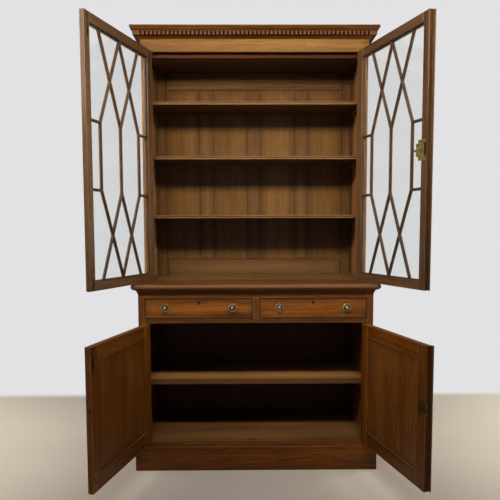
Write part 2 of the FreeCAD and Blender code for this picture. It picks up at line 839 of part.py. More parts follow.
def base_bearers():
    """Runners, guides and kickers for the drawers, and the strips that carry the lower shelf."""
    rail_back = front + drawer_rail_depth
    stile_back = front + base_stile_depth
    run_levels = (drawer_floor - runner_thick, drawer_floor)
    guide_levels = (drawer_floor, drawer_floor + guide_height)
    kicker_levels = (top_rail_low, top_rail_low + runner_thick)
    shelf_low = lower_shelf_top - lower_shelf_thick
    left = [
        board("runner_l", (-inner, -inner + runner_width), (rail_back, back_inner), run_levels),
        board("guide_l", (-inner, -base_opening), (stile_back, back_inner), guide_levels),
        board("kicker_l", (-inner, -inner + runner_width), (stile_back, back_inner), kicker_levels),
        board("shelf_bearer_l", (-inner, -inner + shelf_bearer),
              (front + lower_shelf_setback + shelf_bearer, back_inner),
              (shelf_low - shelf_bearer, shelf_low)),
    ]
    right = [mirrored(piece.Name[:-1] + "r", piece) for piece in left]
    middle = (-runner_width, runner_width)
    centre = [
        board("runner_middle", middle, (rail_back, back_inner), run_levels),
        board("guide_middle", (-muntin_width / 2, muntin_width / 2), (stile_back, back_inner), guide_levels),
        board("kicker_middle", middle, (stile_back, back_inner), kicker_levels),
    ]
    sub_part("base_bearers", group("base_bearer_set", *left, *right, *centre))


def base_shelf():
    sub_part("base_shelf", board("base_shelf_board", (-inner + seat_gap, inner - seat_gap),
                                 (front + lower_shelf_setback, back_inner - seat_gap),
                                 (lower_shelf_top - lower_shelf_thick, lower_shelf_top)))


def base_back():
    sub_part("base_back", board("base_back_board", (-inner, inner), (back_inner, back),
                                (floor_top - floor_thick, base_top)))


def plinth():
    """Three moulded boards mitred round the front and sides, the rail behind and the bearer between."""
    step = plinth_thick / 4
    skirt = moulding("plinth_skirt", {"face": front, "corners": [
        (0, 0),
        (plinth_thick, 0),
        (plinth_thick, plinth_height - plinth_mould),
        (plinth_thick - step, plinth_height - plinth_mould, -plinth_mould),
        (step * 2, plinth_height - step / 2),
        (step * 2, plinth_height),
        (0, plinth_height),
    ]})
    reach = plinth_thick * 2
    mitre = prism("plinth_mitre", "XY_Plane", (-overcut, plinth_height + overcut), [
        (-half, front),
        (half, front),
        (half + reach, front - reach),
        (-half - reach, front - reach),
    ])
    front_board = overlap("plinth_front", skirt, mitre)
    side_boards = cut("plinth_sides", skirt, mitre)
    levels = (0, floor_top - floor_thick)
    rail = board("plinth_back_rail", (-inner, inner), (back_inner, back), levels)
    bearer = board("plinth_bearer", (-bearer_width / 2, bearer_width / 2), (front, back_inner), levels)
    sub_part("plinth", group("plinth_set", front_board, side_boards, rail, bearer))


def waist():
    """The moulded board between base and upper case, and the cove under its overhang."""
    blank = board("waist_blank", (-half - waist_overhang, half + waist_overhang),
                  (front - waist_overhang, back), (base_top, waist_top))
    nosed = doc.addObject("Part::Fillet", "waist_nosed")
    nosed.Base = blank
    doc.recompute()
    nose = float(waist_round)
    nosed.Edges = [(number, nose, nose) for number in front_and_side_edges(blank)]
    sub_part("waist_board", cut("waist_cut", nosed, *waist_cavities))
    fillet = cove_reach / 8
    cove = moulding("waist_cove", {"face": front, "corners": [
        (0, base_top - cove_height),
        (fillet, base_top - cove_height),
        (fillet, base_top - cove_height + fillet, -(cove_reach - fillet)),
        (cove_reach, base_top - fillet),
        (cove_reach, base_top),
        (0, base_top),
    ]})
    sub_part("waist_moulding", cove)


def front_and_side_edges(block):
    """The numbers of the long level edges at the front and at both ends of a squared block."""
    box = block.Shape.BoundBox
    numbers = []
    for number, edge in enumerate(block.Shape.Edges, 1):
        middle = edge.CenterOfMass
        level = edge.BoundBox.ZLength < nothing
        outer = min(middle.y - box.YMin, middle.x - box.XMin, box.XMax - middle.x) < nothing
        if level and outer:
            numbers.append(number)
    return numbers


# ---------------------------------------------------------------------------------------------------
# Upper carcase
# ---------------------------------------------------------------------------------------------------
def upper_sides():
    blank = case_side("upper_side_blank", upper_front, upper_opening, upper_stile_depth,
                      (waist_top, case_top))
    housing = board("frieze_housing", (-half - overcut, -upper_opening + overcut),
                    (upper_front - overcut, stop_plane), (frieze_low, case_top + overcut))
    left = sub_part("upper_side_left", cut("upper_side_l", blank, case_mortises(upper_door), housing))
    sub_part("upper_side_right", mirrored("upper_side_r", left))


def upper_boards():
    """The floor of the glazed case, and its ceiling with the dust board above."""
    across = (-inner, inner)
    depth = (stop_plane, back_inner)
    sub_part("upper_floor", board("upper_floor_board", across, depth, (waist_top, upper_floor_top)))
    ceiling = board("upper_ceiling", across, depth, (ceiling_low, ceiling_high))
    dust = board("dust_board", across, depth, (case_top - dust_board_thick, case_top))
    sub_part("upper_top", group("upper_top_set", ceiling, dust))


def frieze():
    blank = board("frieze_blank", (-half, half), (upper_front, stop_plane), (frieze_low, case_top))
    sub_part("frieze", cut("frieze_cut", blank, *frieze_cavities))


def cornice():
    """Bead and cove below, a seat for the dentils, then ovolo and fillet above."""
    course = cornice_low + dentil_low
    course_high = course + dentil_height
    soffit = dentil_reach + dentil_hood
    bead = dentil_low / 3
    sub_part("cornice", moulding("cornice_sweep", {"face": upper_front, "corners": [
        (0, cornice_low),
        (bead, cornice_low, cornice_bead_round),
        (bead, cornice_low + bead, -cornice_cove_round),
        (dentil_bed - bead, course),
        (dentil_seat, course),
        (dentil_seat, course_high),
        (soffit, course_high),
        (soffit, course_high + bead),
        (soffit + cornice_quirk, course_high + bead, cornice_ovolo_round),
        (cornice_reach - cornice_quirk, cornice_high - cornice_lip),
        (cornice_reach, cornice_high - cornice_lip),
        (cornice_reach, cornice_high),
        (0, cornice_high),
    ]}))


def dentils():
    """One mitred strip with slots cut across its face, so that teeth stand between them."""
    course = cornice_low + dentil_low
    levels = (course, course + dentil_height)
    outer_x = half + dentil_reach
    seat_x = half + dentil_seat
    bed_x = half + dentil_bed
    outer_y = upper_front - dentil_reach
    seat_y = upper_front - dentil_seat
    bed_y = upper_front - dentil_bed
    body = doc.addObject("PartDesign::Body", "dentil_course")
    new_pad(body, "dentil_strip", "XY_Plane", levels, [
        (-outer_x, back),
        (-outer_x, outer_y),
        (outer_x, outer_y),
        (outer_x, back),
        (seat_x, back),
        (seat_x, seat_y),
        (-seat_x, seat_y),
        (-seat_x, back),
    ])
    cut_levels = (levels[0] - overcut, levels[1] + overcut)
    front_count = whole((base_width + dentil_reach) / dentil_pitch / 2) * 2
    front_run = (front_count - 1) * dentil_pitch
    slot = (-front_run / 2 - dentil_gap / 2, -front_run / 2 + dentil_gap / 2)
    repeated_cut(body, "front_slot", "XY_Plane", cut_levels, [
        (slot[0], outer_y - overcut),
        (slot[1], outer_y - overcut),
        (slot[1], bed_y),
        (slot[0], bed_y),
    ], "X_Axis", front_run, front_count)
    side_count = whole((upper_depth + dentil_reach) / dentil_pitch - 1)
    side_run = (side_count - 1) * dentil_pitch
    first = outer_y + dentil_pitch
    sides = (("left_slot", -outer_x - overcut, -bed_x), ("right_slot", bed_x, outer_x + overcut))
    for name, near, far in sides:
        repeated_cut(body, name, "XY_Plane", cut_levels, [
            (near, first),
            (far, first),
            (far, first + dentil_gap),
            (near, first + dentil_gap),
        ], "Y_Axis", side_run, side_count)
    sub_part("dentils", body)


def panelled_back():
    """Four flat panels, held in the grooves of a frame of stiles, muntins and rails."""
    depth = (back_inner, back)
    low = waist_top + back_rail_low
    high = ceiling_low - back_rail_drop
    clear = (inner * 2 - back_stile * 2 - back_muntin * 3) / 4
    frame = [
        board("back_stile_l", (-inner, -inner + back_stile), depth, (waist_top, case_top)),
        board("back_stile_r", (inner - back_stile, inner), depth, (waist_top, case_top)),
        board("back_rail_low_board", (-inner + back_stile, inner - back_stile), depth, (waist_top, low)),
        board("back_rail_top_board", (-inner + back_stile, inner - back_stile), depth, (high, case_top)),
    ]
    panels = []
    grooves = []
    groove_y = (back_inner + back_panel_thick / 2, back_inner + back_panel_thick * 1.5)
    for index in range(4):
        start = -inner + back_stile + (clear + back_muntin) * index
        if index:
            frame.append(board("back_muntin%d" % index, (start - back_muntin, start), depth, (low, high)))
        grooves.append(board("back_groove%d" % index, (start - panel_tongue, start + clear + panel_tongue),
                             groove_y, (low - panel_tongue, high + panel_tongue)))
        reach = panel_tongue - seat_gap
        panels.append(board("back_panel%d" % index, (start - reach, start + clear + reach), groove_y,
                            (low - panel_tongue, high + reach)))
    sub_part("back_frame", cut("back_frame_cut", group("back_frame_boards", *frame), *grooves))
    sub_part("back_panels", group("back_panel_set", *panels))


# ---------------------------------------------------------------------------------------------------
# Adjustable shelves of the upper case
# ---------------------------------------------------------------------------------------------------
rack_front = stop_plane
rack_edge = rack_front + rack_width
rear_rack_edge = back_inner - rack_width


def ledge(notch):
    """The level of a notch's ledge, counted from the lowest notch."""
    return upper_floor_top + rack_first + rack_pitch * notch


def shelf_racks():
    """Four upright racks with saw-tooth notches, in the recesses behind the stiles and at the back."""
    body = doc.addObject("PartDesign::Body", "front_rack")
    span = (-inner, -inner + rack_reach)
    new_pad(body, "rack_blank", "YZ_Plane", span, [
        (rack_front, upper_floor_top),
        (rack_edge, upper_floor_top),
        (rack_edge, ceiling_low),
        (rack_front, ceiling_low),
    ])
    first = ledge(0)
    room = ceiling_low - first
    count = whole(room / rack_pitch)
    repeated_cut(body, "rack_tooth", "YZ_Plane", (span[0] - overcut, span[1] + overcut), [
        (rack_edge + overcut, first),
        (rack_edge - rack_notch, first),
        (rack_edge, first + rack_pitch - rack_land),
        (rack_edge + overcut, first + rack_pitch - rack_land),
    ], "Z_Axis", (count - 1) * rack_pitch, count)
    rear = doc.addObject("Part::Mirroring", "rear_rack")
    rear.Source = body
    rear.Normal = FreeCAD.Vector(0, 1, 0)
    bind(rear, "Base.y", (rack_front + back_inner) / 2)
    left = [body, rear]
    right = [mirrored("right_" + piece.Name, piece) for piece in left]
    sub_part("shelf_racks", group("rack_set", *left, *right))


def shelf_battens():
    """A loose batten across each pair of racks, with ends cut to the slope of the teeth."""
    slope = rack_notch / (rack_pitch - rack_land)
    lean = slope * batten_height
    near = rack_edge - rack_notch + seat_gap
    far = rear_rack_edge + rack_notch - seat_gap
    battens = []
    for index, notch in enumerate(shelf_notches):
        low = ledge(notch)
        left = prism("batten%d" % index, "YZ_Plane", (-inner, -inner + rack_reach), [
            (near, low),
            (far, low),
            (far - lean, low + batten_height),
            (near + lean, low + batten_height),
        ])
        battens += [left, mirrored("right_batten%d" % index, left)]
    sub_part("shelf_battens", group("batten_set", *battens))


def upper_shelf(label, notch):
    """A shelf notched round the rear racks, with its front edge rounded above."""
    low = ledge(notch) + batten_height
    end = inner - seat_gap
    notch_end = inner - rack_reach - seat_gap
    front_edge = upper_front + shelf_setback
    shelf = prism(label + "_board", "XY_Plane", (low, low + shelf_thick), [
        (-end, front_edge),
        (end, front_edge),
        (end, rear_rack_edge - seat_gap),
        (notch_end, rear_rack_edge - seat_gap),
        (notch_end, back_inner - shelf_back_gap),
        (-notch_end, back_inner - shelf_back_gap),
        (-notch_end, rear_rack_edge - seat_gap),
        (-end, rear_rack_edge - seat_gap),
    ])
    doc.recompute()
    pad = shelf.Tip
    names = []
    for number, edge in enumerate(pad.Shape.Edges, 1):
        middle = edge.CenterOfMass
        off = max(abs(middle.y - float(front_edge)), abs(middle.z - float(low + shelf_thick)))
        if off < nothing:
            names.append("Edge%d" % number)
    fillet = shelf.newObject("PartDesign::Fillet", label + "_nose")
    fillet.Base = (pad, names)
    bind(fillet, "Radius", shelf_round)
    shelf.Tip = fillet
    sub_part(label, shelf)


# ---------------------------------------------------------------------------------------------------
# Glazed doors
# ---------------------------------------------------------------------------------------------------
glass_left = upper_door.edge + glazed_hinge_stile
glass_right = upper_door.free_edge - glazed_meeting_stile
glass_low = upper_door_low + glazed_low_rail
glass_high = upper_door_high - glazed_top_rail
glass_face = upper_door.face + rebate_front


def glazed_frame_boards():
    depth = (upper_door.face, upper_door.inside)
    height = (upper_door_low, upper_door_high)
    between = (glass_left, glass_right)
    return group("glazed_frame_boards",
                 board("glazed_hinge_stile_board", (upper_door.edge, glass_left), depth, height),
                 board("glazed_meeting_stile_board", (glass_right, upper_door.free_edge), depth, height),
                 board("glazed_top_rail_board", between, depth, (glass_high, upper_door_high)),
                 board("glazed_low_rail_board", between, depth, (upper_door_low, glass_low)))


def glazed_frames():
    """Both glazed frames, rebated for the glass; the left-hand one is also cut for its two bolts."""
    boards = glazed_frame_boards()
    rebate = board("glass_rebate", (glass_left - rebate_width, glass_right + rebate_width),
                   (glass_face, upper_door.inside + overcut),
                   (glass_low - rebate_width, glass_high + rebate_width))
    mortises = door_mortises(upper_door)
    bolts = upper_top_bolt.cavities() + upper_low_bolt.cavities()
    left = cut("glazed_frame_left", boards, rebate, *mortises, *bolts)
    sub_part("upper_left_door_frame", upper_door.hang("glazed_frame_left_hung", left))
    right = cut("glazed_frame_right", boards, rebate, *mortises)
    right_hung = upper_door.hang("glazed_frame_right_hung", right)
    sub_part("upper_right_door_frame", mirrored("glazed_frame_right_side", right_hung))


def lattice_points():
    """The meeting points of the bars: three columns, and the levels where the slanting bars meet them."""
    middle_x = (glass_left + glass_right) / 2
    middle_z = (glass_low + glass_high) / 2
    columns = [middle_x - bar_spacing, middle_x, middle_x + bar_spacing]
    levels = [glass_low, middle_z - middle_light / 2, middle_z + middle_light / 2, glass_high]
    return columns, levels


def lattice_bars():
    """Each bar as the pair of points that it runs between."""
    (left, middle, right), (low, knee_low, knee_high, high) = lattice_points()
    bars = [((column, knee_low), (column, knee_high)) for column in (left, middle, right)]
    for outer in (left, right):
        for knee, end in ((knee_low, low), (knee_high, high)):
            bars.append(((outer, knee), (middle, end)))
            bars.append(((middle, knee), (outer, end)))
    for knee in (knee_low, knee_high):
        bars.append(((glass_left, knee), (left, knee)))
        bars.append(((right, knee), (glass_right, knee)))
    return bars


def lattice_lights():
    """Each pane as its corners, clockwise from inside the case, and which of its edges lie on the frame."""
    (left, middle, right), (low, knee_low, knee_high, high) = lattice_points()
    lights = [
        ([(glass_left, knee_low), (glass_left, knee_high), (left, knee_high), (left, knee_low)], (0,)),
        ([(right, knee_low), (right, knee_high), (glass_right, knee_high), (glass_right, knee_low)], (2,)),
    ]
    for knee, end in ((knee_high, high), (knee_low, low)):
        cross = (knee + end) / 2
        quarter_left = (left + middle) / 2
        quarter_right = (middle + right) / 2
        lights += [
            ([(glass_left, knee), (glass_left, end), (left, end), (quarter_left, cross), (left, knee)],
             (0, 1)),
            ([(left, end), (middle, end), (quarter_left, cross)], (0,)),
            ([(middle, end), (quarter_right, cross), (middle, knee), (quarter_left, cross)], ()),
            ([(middle, end), (right, end), (quarter_right, cross)], (0,)),
            ([(right, end), (glass_right, end), (glass_right, knee), (right, knee), (quarter_right, cross)],
             (0, 1)),
        ]
    cross_low = (knee_low + low) / 2
    cross_high = (knee_high + high) / 2
    for start, end in ((left, middle), (middle, right)):
        quarter = (start + end) / 2
        lights.append(([(start, knee_low), (start, knee_high), (quarter, cross_high), (end, knee_high),
                        (end, knee_low), (quarter, cross_low)], ()))
    return lights


def upright(x, y, z):
    return FreeCAD.Vector(float(x), float(y), float(z))


def overrun(point):
    """How far a bar runs on past its end: over the edge of the frame, or up to the mitre at a knee."""
    if point[0].number in (glass_left.number, glass_right.number):
        return float(bar_width)
    if point[1].number in (glass_low.number, glass_high.number):
        return float(bar_width)
    columns, levels = lattice_points()
    turn = math.atan2(float(columns[1] - columns[0]), float(levels[1] - levels[0]))
    return float(bar_width) / 2 * math.tan(turn / 2)


def bar_solid(first, last):
    """A straight glazing bar: a rounded moulding in front of the glass and a rib between the panes."""
    start = upright(first[0], 0, first[1])
    end = upright(last[0], 0, last[1])
    along = (end - start).normalize()
    across = FreeCAD.Vector(0, 1, 0).cross(along)
    start = start - along * overrun(first)
    end = end + along * overrun(last)
    wide = float(bar_width) / 2
    rib = float(bar_rib) / 2
    nose = float(upper_door.face + bar_setback)
    seat = float(glass_face)
    heel = float(upper_door.inside - rib_setback)
    shoulder = nose + float(bar_round)

    def corner(side, depth):
        return start + across * side + FreeCAD.Vector(0, depth, 0)

    edges = [
        Part.LineSegment(corner(wide, shoulder), corner(wide, seat)).toShape(),
        Part.LineSegment(corner(wide, seat), corner(rib, seat)).toShape(),
        Part.LineSegment(corner(rib, seat), corner(rib, heel)).toShape(),
        Part.LineSegment(corner(rib, heel), corner(-rib, heel)).toShape(),
        Part.LineSegment(corner(-rib, heel), corner(-rib, seat)).toShape(),
        Part.LineSegment(corner(-rib, seat), corner(-wide, seat)).toShape(),
        Part.LineSegment(corner(-wide, seat), corner(-wide, shoulder)).toShape(),
        Part.Arc(corner(-wide, shoulder), corner(0, nose), corner(wide, shoulder)).toShape(),
    ]
    section = Part.Face(Part.Wire(edges))
    return section.extrude(end - start)


def glazing_bars():
    """All the bars of one door, mitred into one lattice and trimmed to the frame's opening."""
    solids = [bar_solid(start, end) for start, end in lattice_bars()]
    lattice = solids[0].multiFuse(solids[1:])
    wide, high = float(glass_right - glass_left), float(glass_high - glass_low)
    opening = Part.makeBox(wide, float(upper_door_thick), high,
                           upright(glass_left, upper_door.face, glass_low))
    feature = doc.addObject("Part::Feature", "lattice")
    feature.Shape = lattice.common(opening).removeSplitter().Solids[0]
    left = sub_part("upper_left_door_bars", upper_door.hang("lattice_left", feature))
    sub_part("upper_right_door_bars", mirrored("lattice_right", left))


def inset_corners(corners, distances):
    """Move each edge of a convex outline inwards by its own distance, and meet the edges again."""
    lines = []
    count = len(corners)
    middle = sum(corners, FreeCAD.Vector(0, 0, 0)) * (1.0 / count)
    for index in range(count):
        start, end = corners[index], corners[(index + 1) % count]
        along = (end - start).normalize()
        inward = FreeCAD.Vector(0, 1, 0).cross(along)
        if inward.dot(middle - start) < 0:
            inward = -inward
        lines.append((start + inward * distances[index], along))
    met = []
    for index in range(count):
        (point, along), (other_point, other_along) = lines[index - 1], lines[index]
        gap = other_point - point
        turn = along.x * other_along.z - along.z * other_along.x
        share = (gap.x * other_along.z - gap.z * other_along.x) / turn
        met.append(point + along * share)
    return met


def glass_panes():
    """Fourteen panes, each let into the rebates of the frame and stopped by the ribs of the bars."""
    panes = []
    for corners, frame_edges in lattice_lights():
        points = [upright(x, glass_face, z) for x, z in corners]
        to_rib = float(bar_rib / 2 + glass_clearance)
        to_frame = -float(rebate_width - glass_clearance)
        distances = [to_frame if index in frame_edges else to_rib for index in range(len(points))]
        points = inset_corners(points, distances)
        face = Part.Face(Part.makePolygon(points + points[:1]))
        panes.append(face.extrude(FreeCAD.Vector(0, float(glass_thick), 0)))
    feature = doc.addObject("Part::Feature", "panes")
    feature.Shape = Part.makeCompound(panes)
    left = sub_part("upper_left_door_glass", upper_door.hang("panes_left", feature))
    sub_part("upper_right_door_glass", mirrored("panes_right", left))


# ---------------------------------------------------------------------------------------------------
# Panelled doors
# ---------------------------------------------------------------------------------------------------
panel_left = lower_door.edge + panelled_stile
panel_right = lower_door.free_edge - panelled_stile
panel_low = lower_door_low + panelled_low_rail
panel_high = lower_door_high - panelled_top_rail
panel_face = lower_door.inside - door_panel_recess - door_panel_thick


def panelled_frame_boards():
    depth = (lower_door.face, lower_door.inside)
    height = (lower_door_low, lower_door_high)
    between = (panel_left, panel_right)
    return group("panelled_frame_boards",
                 board("panelled_hinge_stile_board", (lower_door.edge, panel_left), depth, height),
                 board("panelled_meeting_stile_board", (panel_right, lower_door.free_edge), depth, height),
                 board("panelled_top_rail_board", between, depth, (panel_high, lower_door_high)),
                 board("panelled_low_rail_board", between, depth, (lower_door_low, panel_low)))


def lock_bolt_span(clearance):
    """The space of the lock's bolt across the door's thickness and up it, opened by a clearance."""
    middle = lower_door.inside - lock_depth / 2
    deep = (middle - lock_bolt_thick / 2 - clearance, middle + lock_bolt_thick / 2 + clearance)
    tall = (lock_axis - lock_bolt_height / 2 - clearance, lock_axis + lock_bolt_height / 2 + clearance)
    return deep, tall


def panelled_frames():
    """Both panelled frames; the left-hand one is cut for its bolts and the lock's mortise."""
    boards = panelled_frame_boards()
    reach = door_panel_tongue
    groove = board("door_panel_groove", (panel_left - reach, panel_right + reach),
                   (panel_face, panel_face + door_panel_thick), (panel_low - reach, panel_high + reach))
    mortises = door_mortises(lower_door)
    bolts = lower_top_bolt.cavities() + lower_low_bolt.cavities()
    deep, tall = lock_bolt_span(seat_gap * 2)
    lock_edge = lower_door.free_edge
    mortise = board("lock_mortise", (lock_edge - lock_travel - lock_mortise_spare, lock_edge + overcut),
                    deep, tall)
    left = cut("panelled_frame_left", boards, groove, mortise, *mortises, *bolts)
    sub_part("lower_left_door_frame", lower_door.hang("panelled_frame_left_hung", left))
    lock_recess = board("lock_recess", (lock_edge - lock_width, lock_edge + overcut),
                        (lower_door.inside - lock_depth, lower_door.inside + overcut),
                        (lock_axis - lock_height / 2, lock_axis + lock_height / 2))
    right = cut("panelled_frame_right", boards, groove, lock_recess, *mortises)
    right_hung = lower_door.hang("panelled_frame_right_hung", right)
    sub_part("lower_right_door_frame", mirrored("panelled_frame_right_side", right_hung))


def door_panels():
    reach = door_panel_tongue - seat_gap
    panel = board("door_panel", (panel_left - reach, panel_right + reach),
                  (panel_face, panel_face + door_panel_thick),
                  (panel_low - door_panel_tongue, panel_high + reach))
    left = sub_part("lower_left_door_panel", lower_door.hang("door_panel_left", panel))
    sub_part("lower_right_door_panel", mirrored("door_panel_right", left))


# ---------------------------------------------------------------------------------------------------
# Fittings of the doors
# ---------------------------------------------------------------------------------------------------
def cover_bead(label, door):
    """The bead on a right-hand door that laps over its neighbour, relieved so that it never rubs."""
    start = door.free_edge + bead_lap - bead_width
    end = door.free_edge + bead_lap
    nose = door.face - bead_proud
    bead = prism(door.name + "_bead", "XY_Plane", (door.low, door.high), [
        (start, door.face),
        (start, nose + bead_round, bead_round),
        (start + bead_round, nose),
        (end - bead_round, nose, bead_round),
        (end, nose + bead_round),
        (end, door.face - bead_relief),
        (door.free_edge, door.face - bead_relief),
        (door.free_edge, door.face),
    ])
    sub_part(label, mirrored(door.name + "_bead_right", door.hang(door.name + "_bead_hung", bead)))


def hinges():
    upper = door_hinges(upper_door)
    lower = door_hinges(lower_door)
    sub_part("upper_left_door_hinges", upper)
    sub_part("upper_right_door_hinges", mirrored("upper_door_right_hinges", upper))
    sub_part("lower_left_door_hinges", lower)
    sub_part("lower_right_door_hinges", mirrored("lower_door_right_hinges", lower))
    fixed = [case_hinges(upper_door), case_hinges(lower_door)]
    fixed += [mirrored("right_" + leaves.Name, leaves) for leaves in fixed]
    sub_part("case_hinge_leaves", group("case_hinge_set", *fixed))


def flush_bolts():
    for side, door, top, low in (("upper", upper_door, upper_top_bolt, upper_low_bolt),
                                 ("lower", lower_door, lower_top_bolt, lower_low_bolt)):
        label = side + "_left_door_"
        sub_part(label + "bolt_plates", door.hang(side + "_plates", top.cover_plate(), low.cover_plate()))
        sub_part(label + "top_bolt", door.hang(side + "_top_bolt_hung", top.bolt()))
        sub_part(label + "bottom_bolt", door.hang(side + "_low_bolt_hung", low.bolt()))
    sub_part("bolt_keepers", group("keeper_set", frieze_keeper, waist_keeper, rail_keeper, floor_keeper))


def upper_latch():
    """A cased sliding latch on the inner face of the upper right door; its tongue passes behind the left."""
    inside = upper_door.inside
    end = upper_door.free_edge - latch_inset
    across = (end - latch_plate_width, end)
    plate = board("latch_plate", across, (inside, inside + plate_thick),
                  (latch_axis - latch_plate_height / 2, latch_axis + latch_plate_height / 2))
    case_levels = (latch_axis - latch_case_height / 2, latch_axis + latch_case_height / 2)
    case = board("latch_case", across, (inside, inside + latch_case_depth), case_levels)
    bar_middle = inside + latch_case_depth / 2
    bar_y = (bar_middle - latch_bar_depth / 2, bar_middle + latch_bar_depth / 2)
    bar_z = (latch_axis - latch_bar / 2, latch_axis + latch_bar / 2)
    channel = board("latch_channel", (across[0] - overcut, across[1] + overcut),
                    (bar_y[0] - slide_clearance, bar_y[1] + slide_clearance),
                    (bar_z[0] - slide_clearance, bar_z[1] + slide_clearance))
    lock = cut("latch_lock", union("latch_blank", plate, case), channel)
    lock_hung = upper_door.hang("latch_lock_hung", lock)
    sub_part("upper_right_door_latch_case", mirrored("latch_lock_right", lock_hung))
    tail = across[0] - latch_travel - latch_grip
    bar = board("latch_tongue", (tail, across[1] - latch_shy), bar_y, bar_z)
    knob = rod_along_y("latch_knob", tail - latch_knob_radius + latch_knob_lap,
                       (bar_y[0], bar_y[1] + latch_knob_radius), latch_axis, latch_knob_radius)
    slider_hung = upper_door.hang("latch_slider_hung", union("latch_slider", bar, knob))
    sub_part("upper_right_door_latch", mirrored("latch_slider_right", slider_hung))


def lower_lock():
    """The cut lock of the lower right door with its bolt, and the small pull on the door's face."""
    inside = lower_door.inside
    edge = lower_door.free_edge
    tall = (lock_axis - lock_height / 2, lock_axis + lock_height / 2)
    case = board("lock_case", (edge - lock_width, edge), (inside - lock_depth, inside + plate_proud), tall)
    deep, high = lock_bolt_span(slide_clearance)
    bolt_start = edge - bolt_shy - lock_bolt_length
    channel = board("lock_channel", (bolt_start - slide_clearance, edge + overcut), deep, high)
    lock = cut("lock_body", case, channel)
    face = lower_door.face
    pull_x = edge - pull_inset
    pull = union("door_pull",
                 rod_along_y("pull_rose", pull_x, (face - plate_thick, face), pull_axis, pull_radius),
                 rod_along_y("pull_stem", pull_x, (face - pull_proud, face), pull_axis, pull_radius / 2))
    hung = lower_door.hang("lock_hung", lock, pull)
    sub_part("lower_right_door_lock", mirrored("lock_right", hung))
    deep, high = lock_bolt_span(0)
    bolt = board("lock_bolt", (bolt_start, edge - bolt_shy), deep, high)
    bolt_hung = lower_door.hang("lock_bolt_hung", bolt)
    sub_part("lower_right_door_lock_bolt", mirrored("lock_bolt_right", bolt_hung))


# ---------------------------------------------------------------------------------------------------
# Drawers
# ---------------------------------------------------------------------------------------------------
drawer_x = (drawer_gap - base_opening, -(muntin_width / 2 + drawer_gap))
drawer_z = (drawer_floor + drawer_gap, top_rail_low - drawer_gap)
drawer_face = front + drawer_front_setback
drawer_front_back = drawer_face + drawer_front_thick
drawer_middle = (drawer_x[0] + drawer_x[1]) / 2
knob_level = drawer_floor + knob_up
keyhole_level = drawer_floor + keyhole_up
drawer_lock_top = drawer_z[1] - drawer_lock_drop
drawer_bolt_top = drawer_lock_top - bolt_shy / 2
drawer_bolt_x = (drawer_middle - drawer_bolt_width / 2, drawer_middle + drawer_bolt_width / 2)
drawer_bolt_y = (drawer_front_back - drawer_lock_depth + drawer_bolt_inset,
                 drawer_front_back - drawer_bolt_inset)
drawer_bolt_z = (drawer_bolt_top - drawer_bolt_length, drawer_bolt_top)


def pair(label, left):
    """Keep a piece of the left drawer, and its mirror image for the right drawer."""
    sub_part("left_drawer_" + label, left)
    sub_part("right_drawer_" + label, mirrored("right_" + left.Name, left))


def keyhole(name, radius, drop, y):
    """A round hole with a slot below it."""
    return union(name,
                 rod_along_y(name + "_round", drawer_middle, y, keyhole_level, radius),
                 board(name + "_slot", (drawer_middle - radius / 2, drawer_middle + radius / 2), y,
                       (keyhole_level - drop, keyhole_level)))


def drawer_front():
    """The front with a cock bead round its edges, bored for knobs and key and let in for its lock."""
    depth = (drawer_face, drawer_front_back)
    bead_depth = (drawer_face - cock_bead, drawer_front_back)
    x, z = drawer_x, drawer_z
    board_x = (x[0] + cock_bead, x[1] - cock_bead)
    board_z = (z[0] + cock_bead, z[1] - cock_bead)
    blank = group("drawer_front_blank",
                  board("drawer_front_board", board_x, depth, board_z),
                  board("bead_top", x, bead_depth, (board_z[1], z[1])),
                  board("bead_bottom", x, bead_depth, (z[0], board_z[0])),
                  board("bead_outer", (x[0], board_x[0]), bead_depth, board_z),
                  board("bead_inner", (board_x[1], x[1]), bead_depth, board_z))
    through = (drawer_face - cock_bead - overcut, drawer_front_back + overcut)
    bore_radius = shank_radius + running_clearance
    bores = [rod_along_y("knob_bore%d" % index, knob_x, through, knob_level, bore_radius)
             for index, knob_x in enumerate(knob_places())]
    key_bore = keyhole("key_bore", keyhole_radius / 2, key_bore_drop, through)
    recess = board("drawer_lock_recess",
                   (drawer_middle - drawer_lock_width / 2, drawer_middle + drawer_lock_width / 2),
                   (drawer_front_back - drawer_lock_depth, drawer_front_back + overcut),
                   (drawer_lock_top - drawer_lock_height, z[1] + overcut))
    pair("front", cut("drawer_front", blank, key_bore, recess, *bores))


def knob_places():
    return [drawer_middle - knob_spread, drawer_middle + knob_spread]


def drawer_box():
    """Sides, back and bottom, with the bottom held in grooves."""
    low = drawer_floor + runner_play
    length = (drawer_front_back, back_inner - drawer_back_gap)
    thick = drawer_side_thick
    x = drawer_x
    tall = (low, low + drawer_side_height)
    bottom_z = (low + drawer_bottom_up, low + drawer_bottom_up + drawer_bottom_thick)
    sides = group("drawer_sides",
                  board("drawer_side_outer", (x[0], x[0] + thick), length, tall),
                  board("drawer_side_inner", (x[1] - thick, x[1]), length, tall))
    bottom_x = (x[0] + thick - drawer_groove, x[1] - thick + drawer_groove)
    groove = board("drawer_bottom_groove", bottom_x, (length[0] - overcut, length[1] + overcut), bottom_z)
    back_board = board("drawer_back", (x[0] + thick, x[1] - thick), (length[1] - thick, length[1]),
                       (bottom_z[1], tall[1]))
    bottom = board("drawer_bottom", bottom_x, length, bottom_z)
    pair("box", group("drawer_box", cut("drawer_sides_grooved", sides, groove), back_board, bottom))


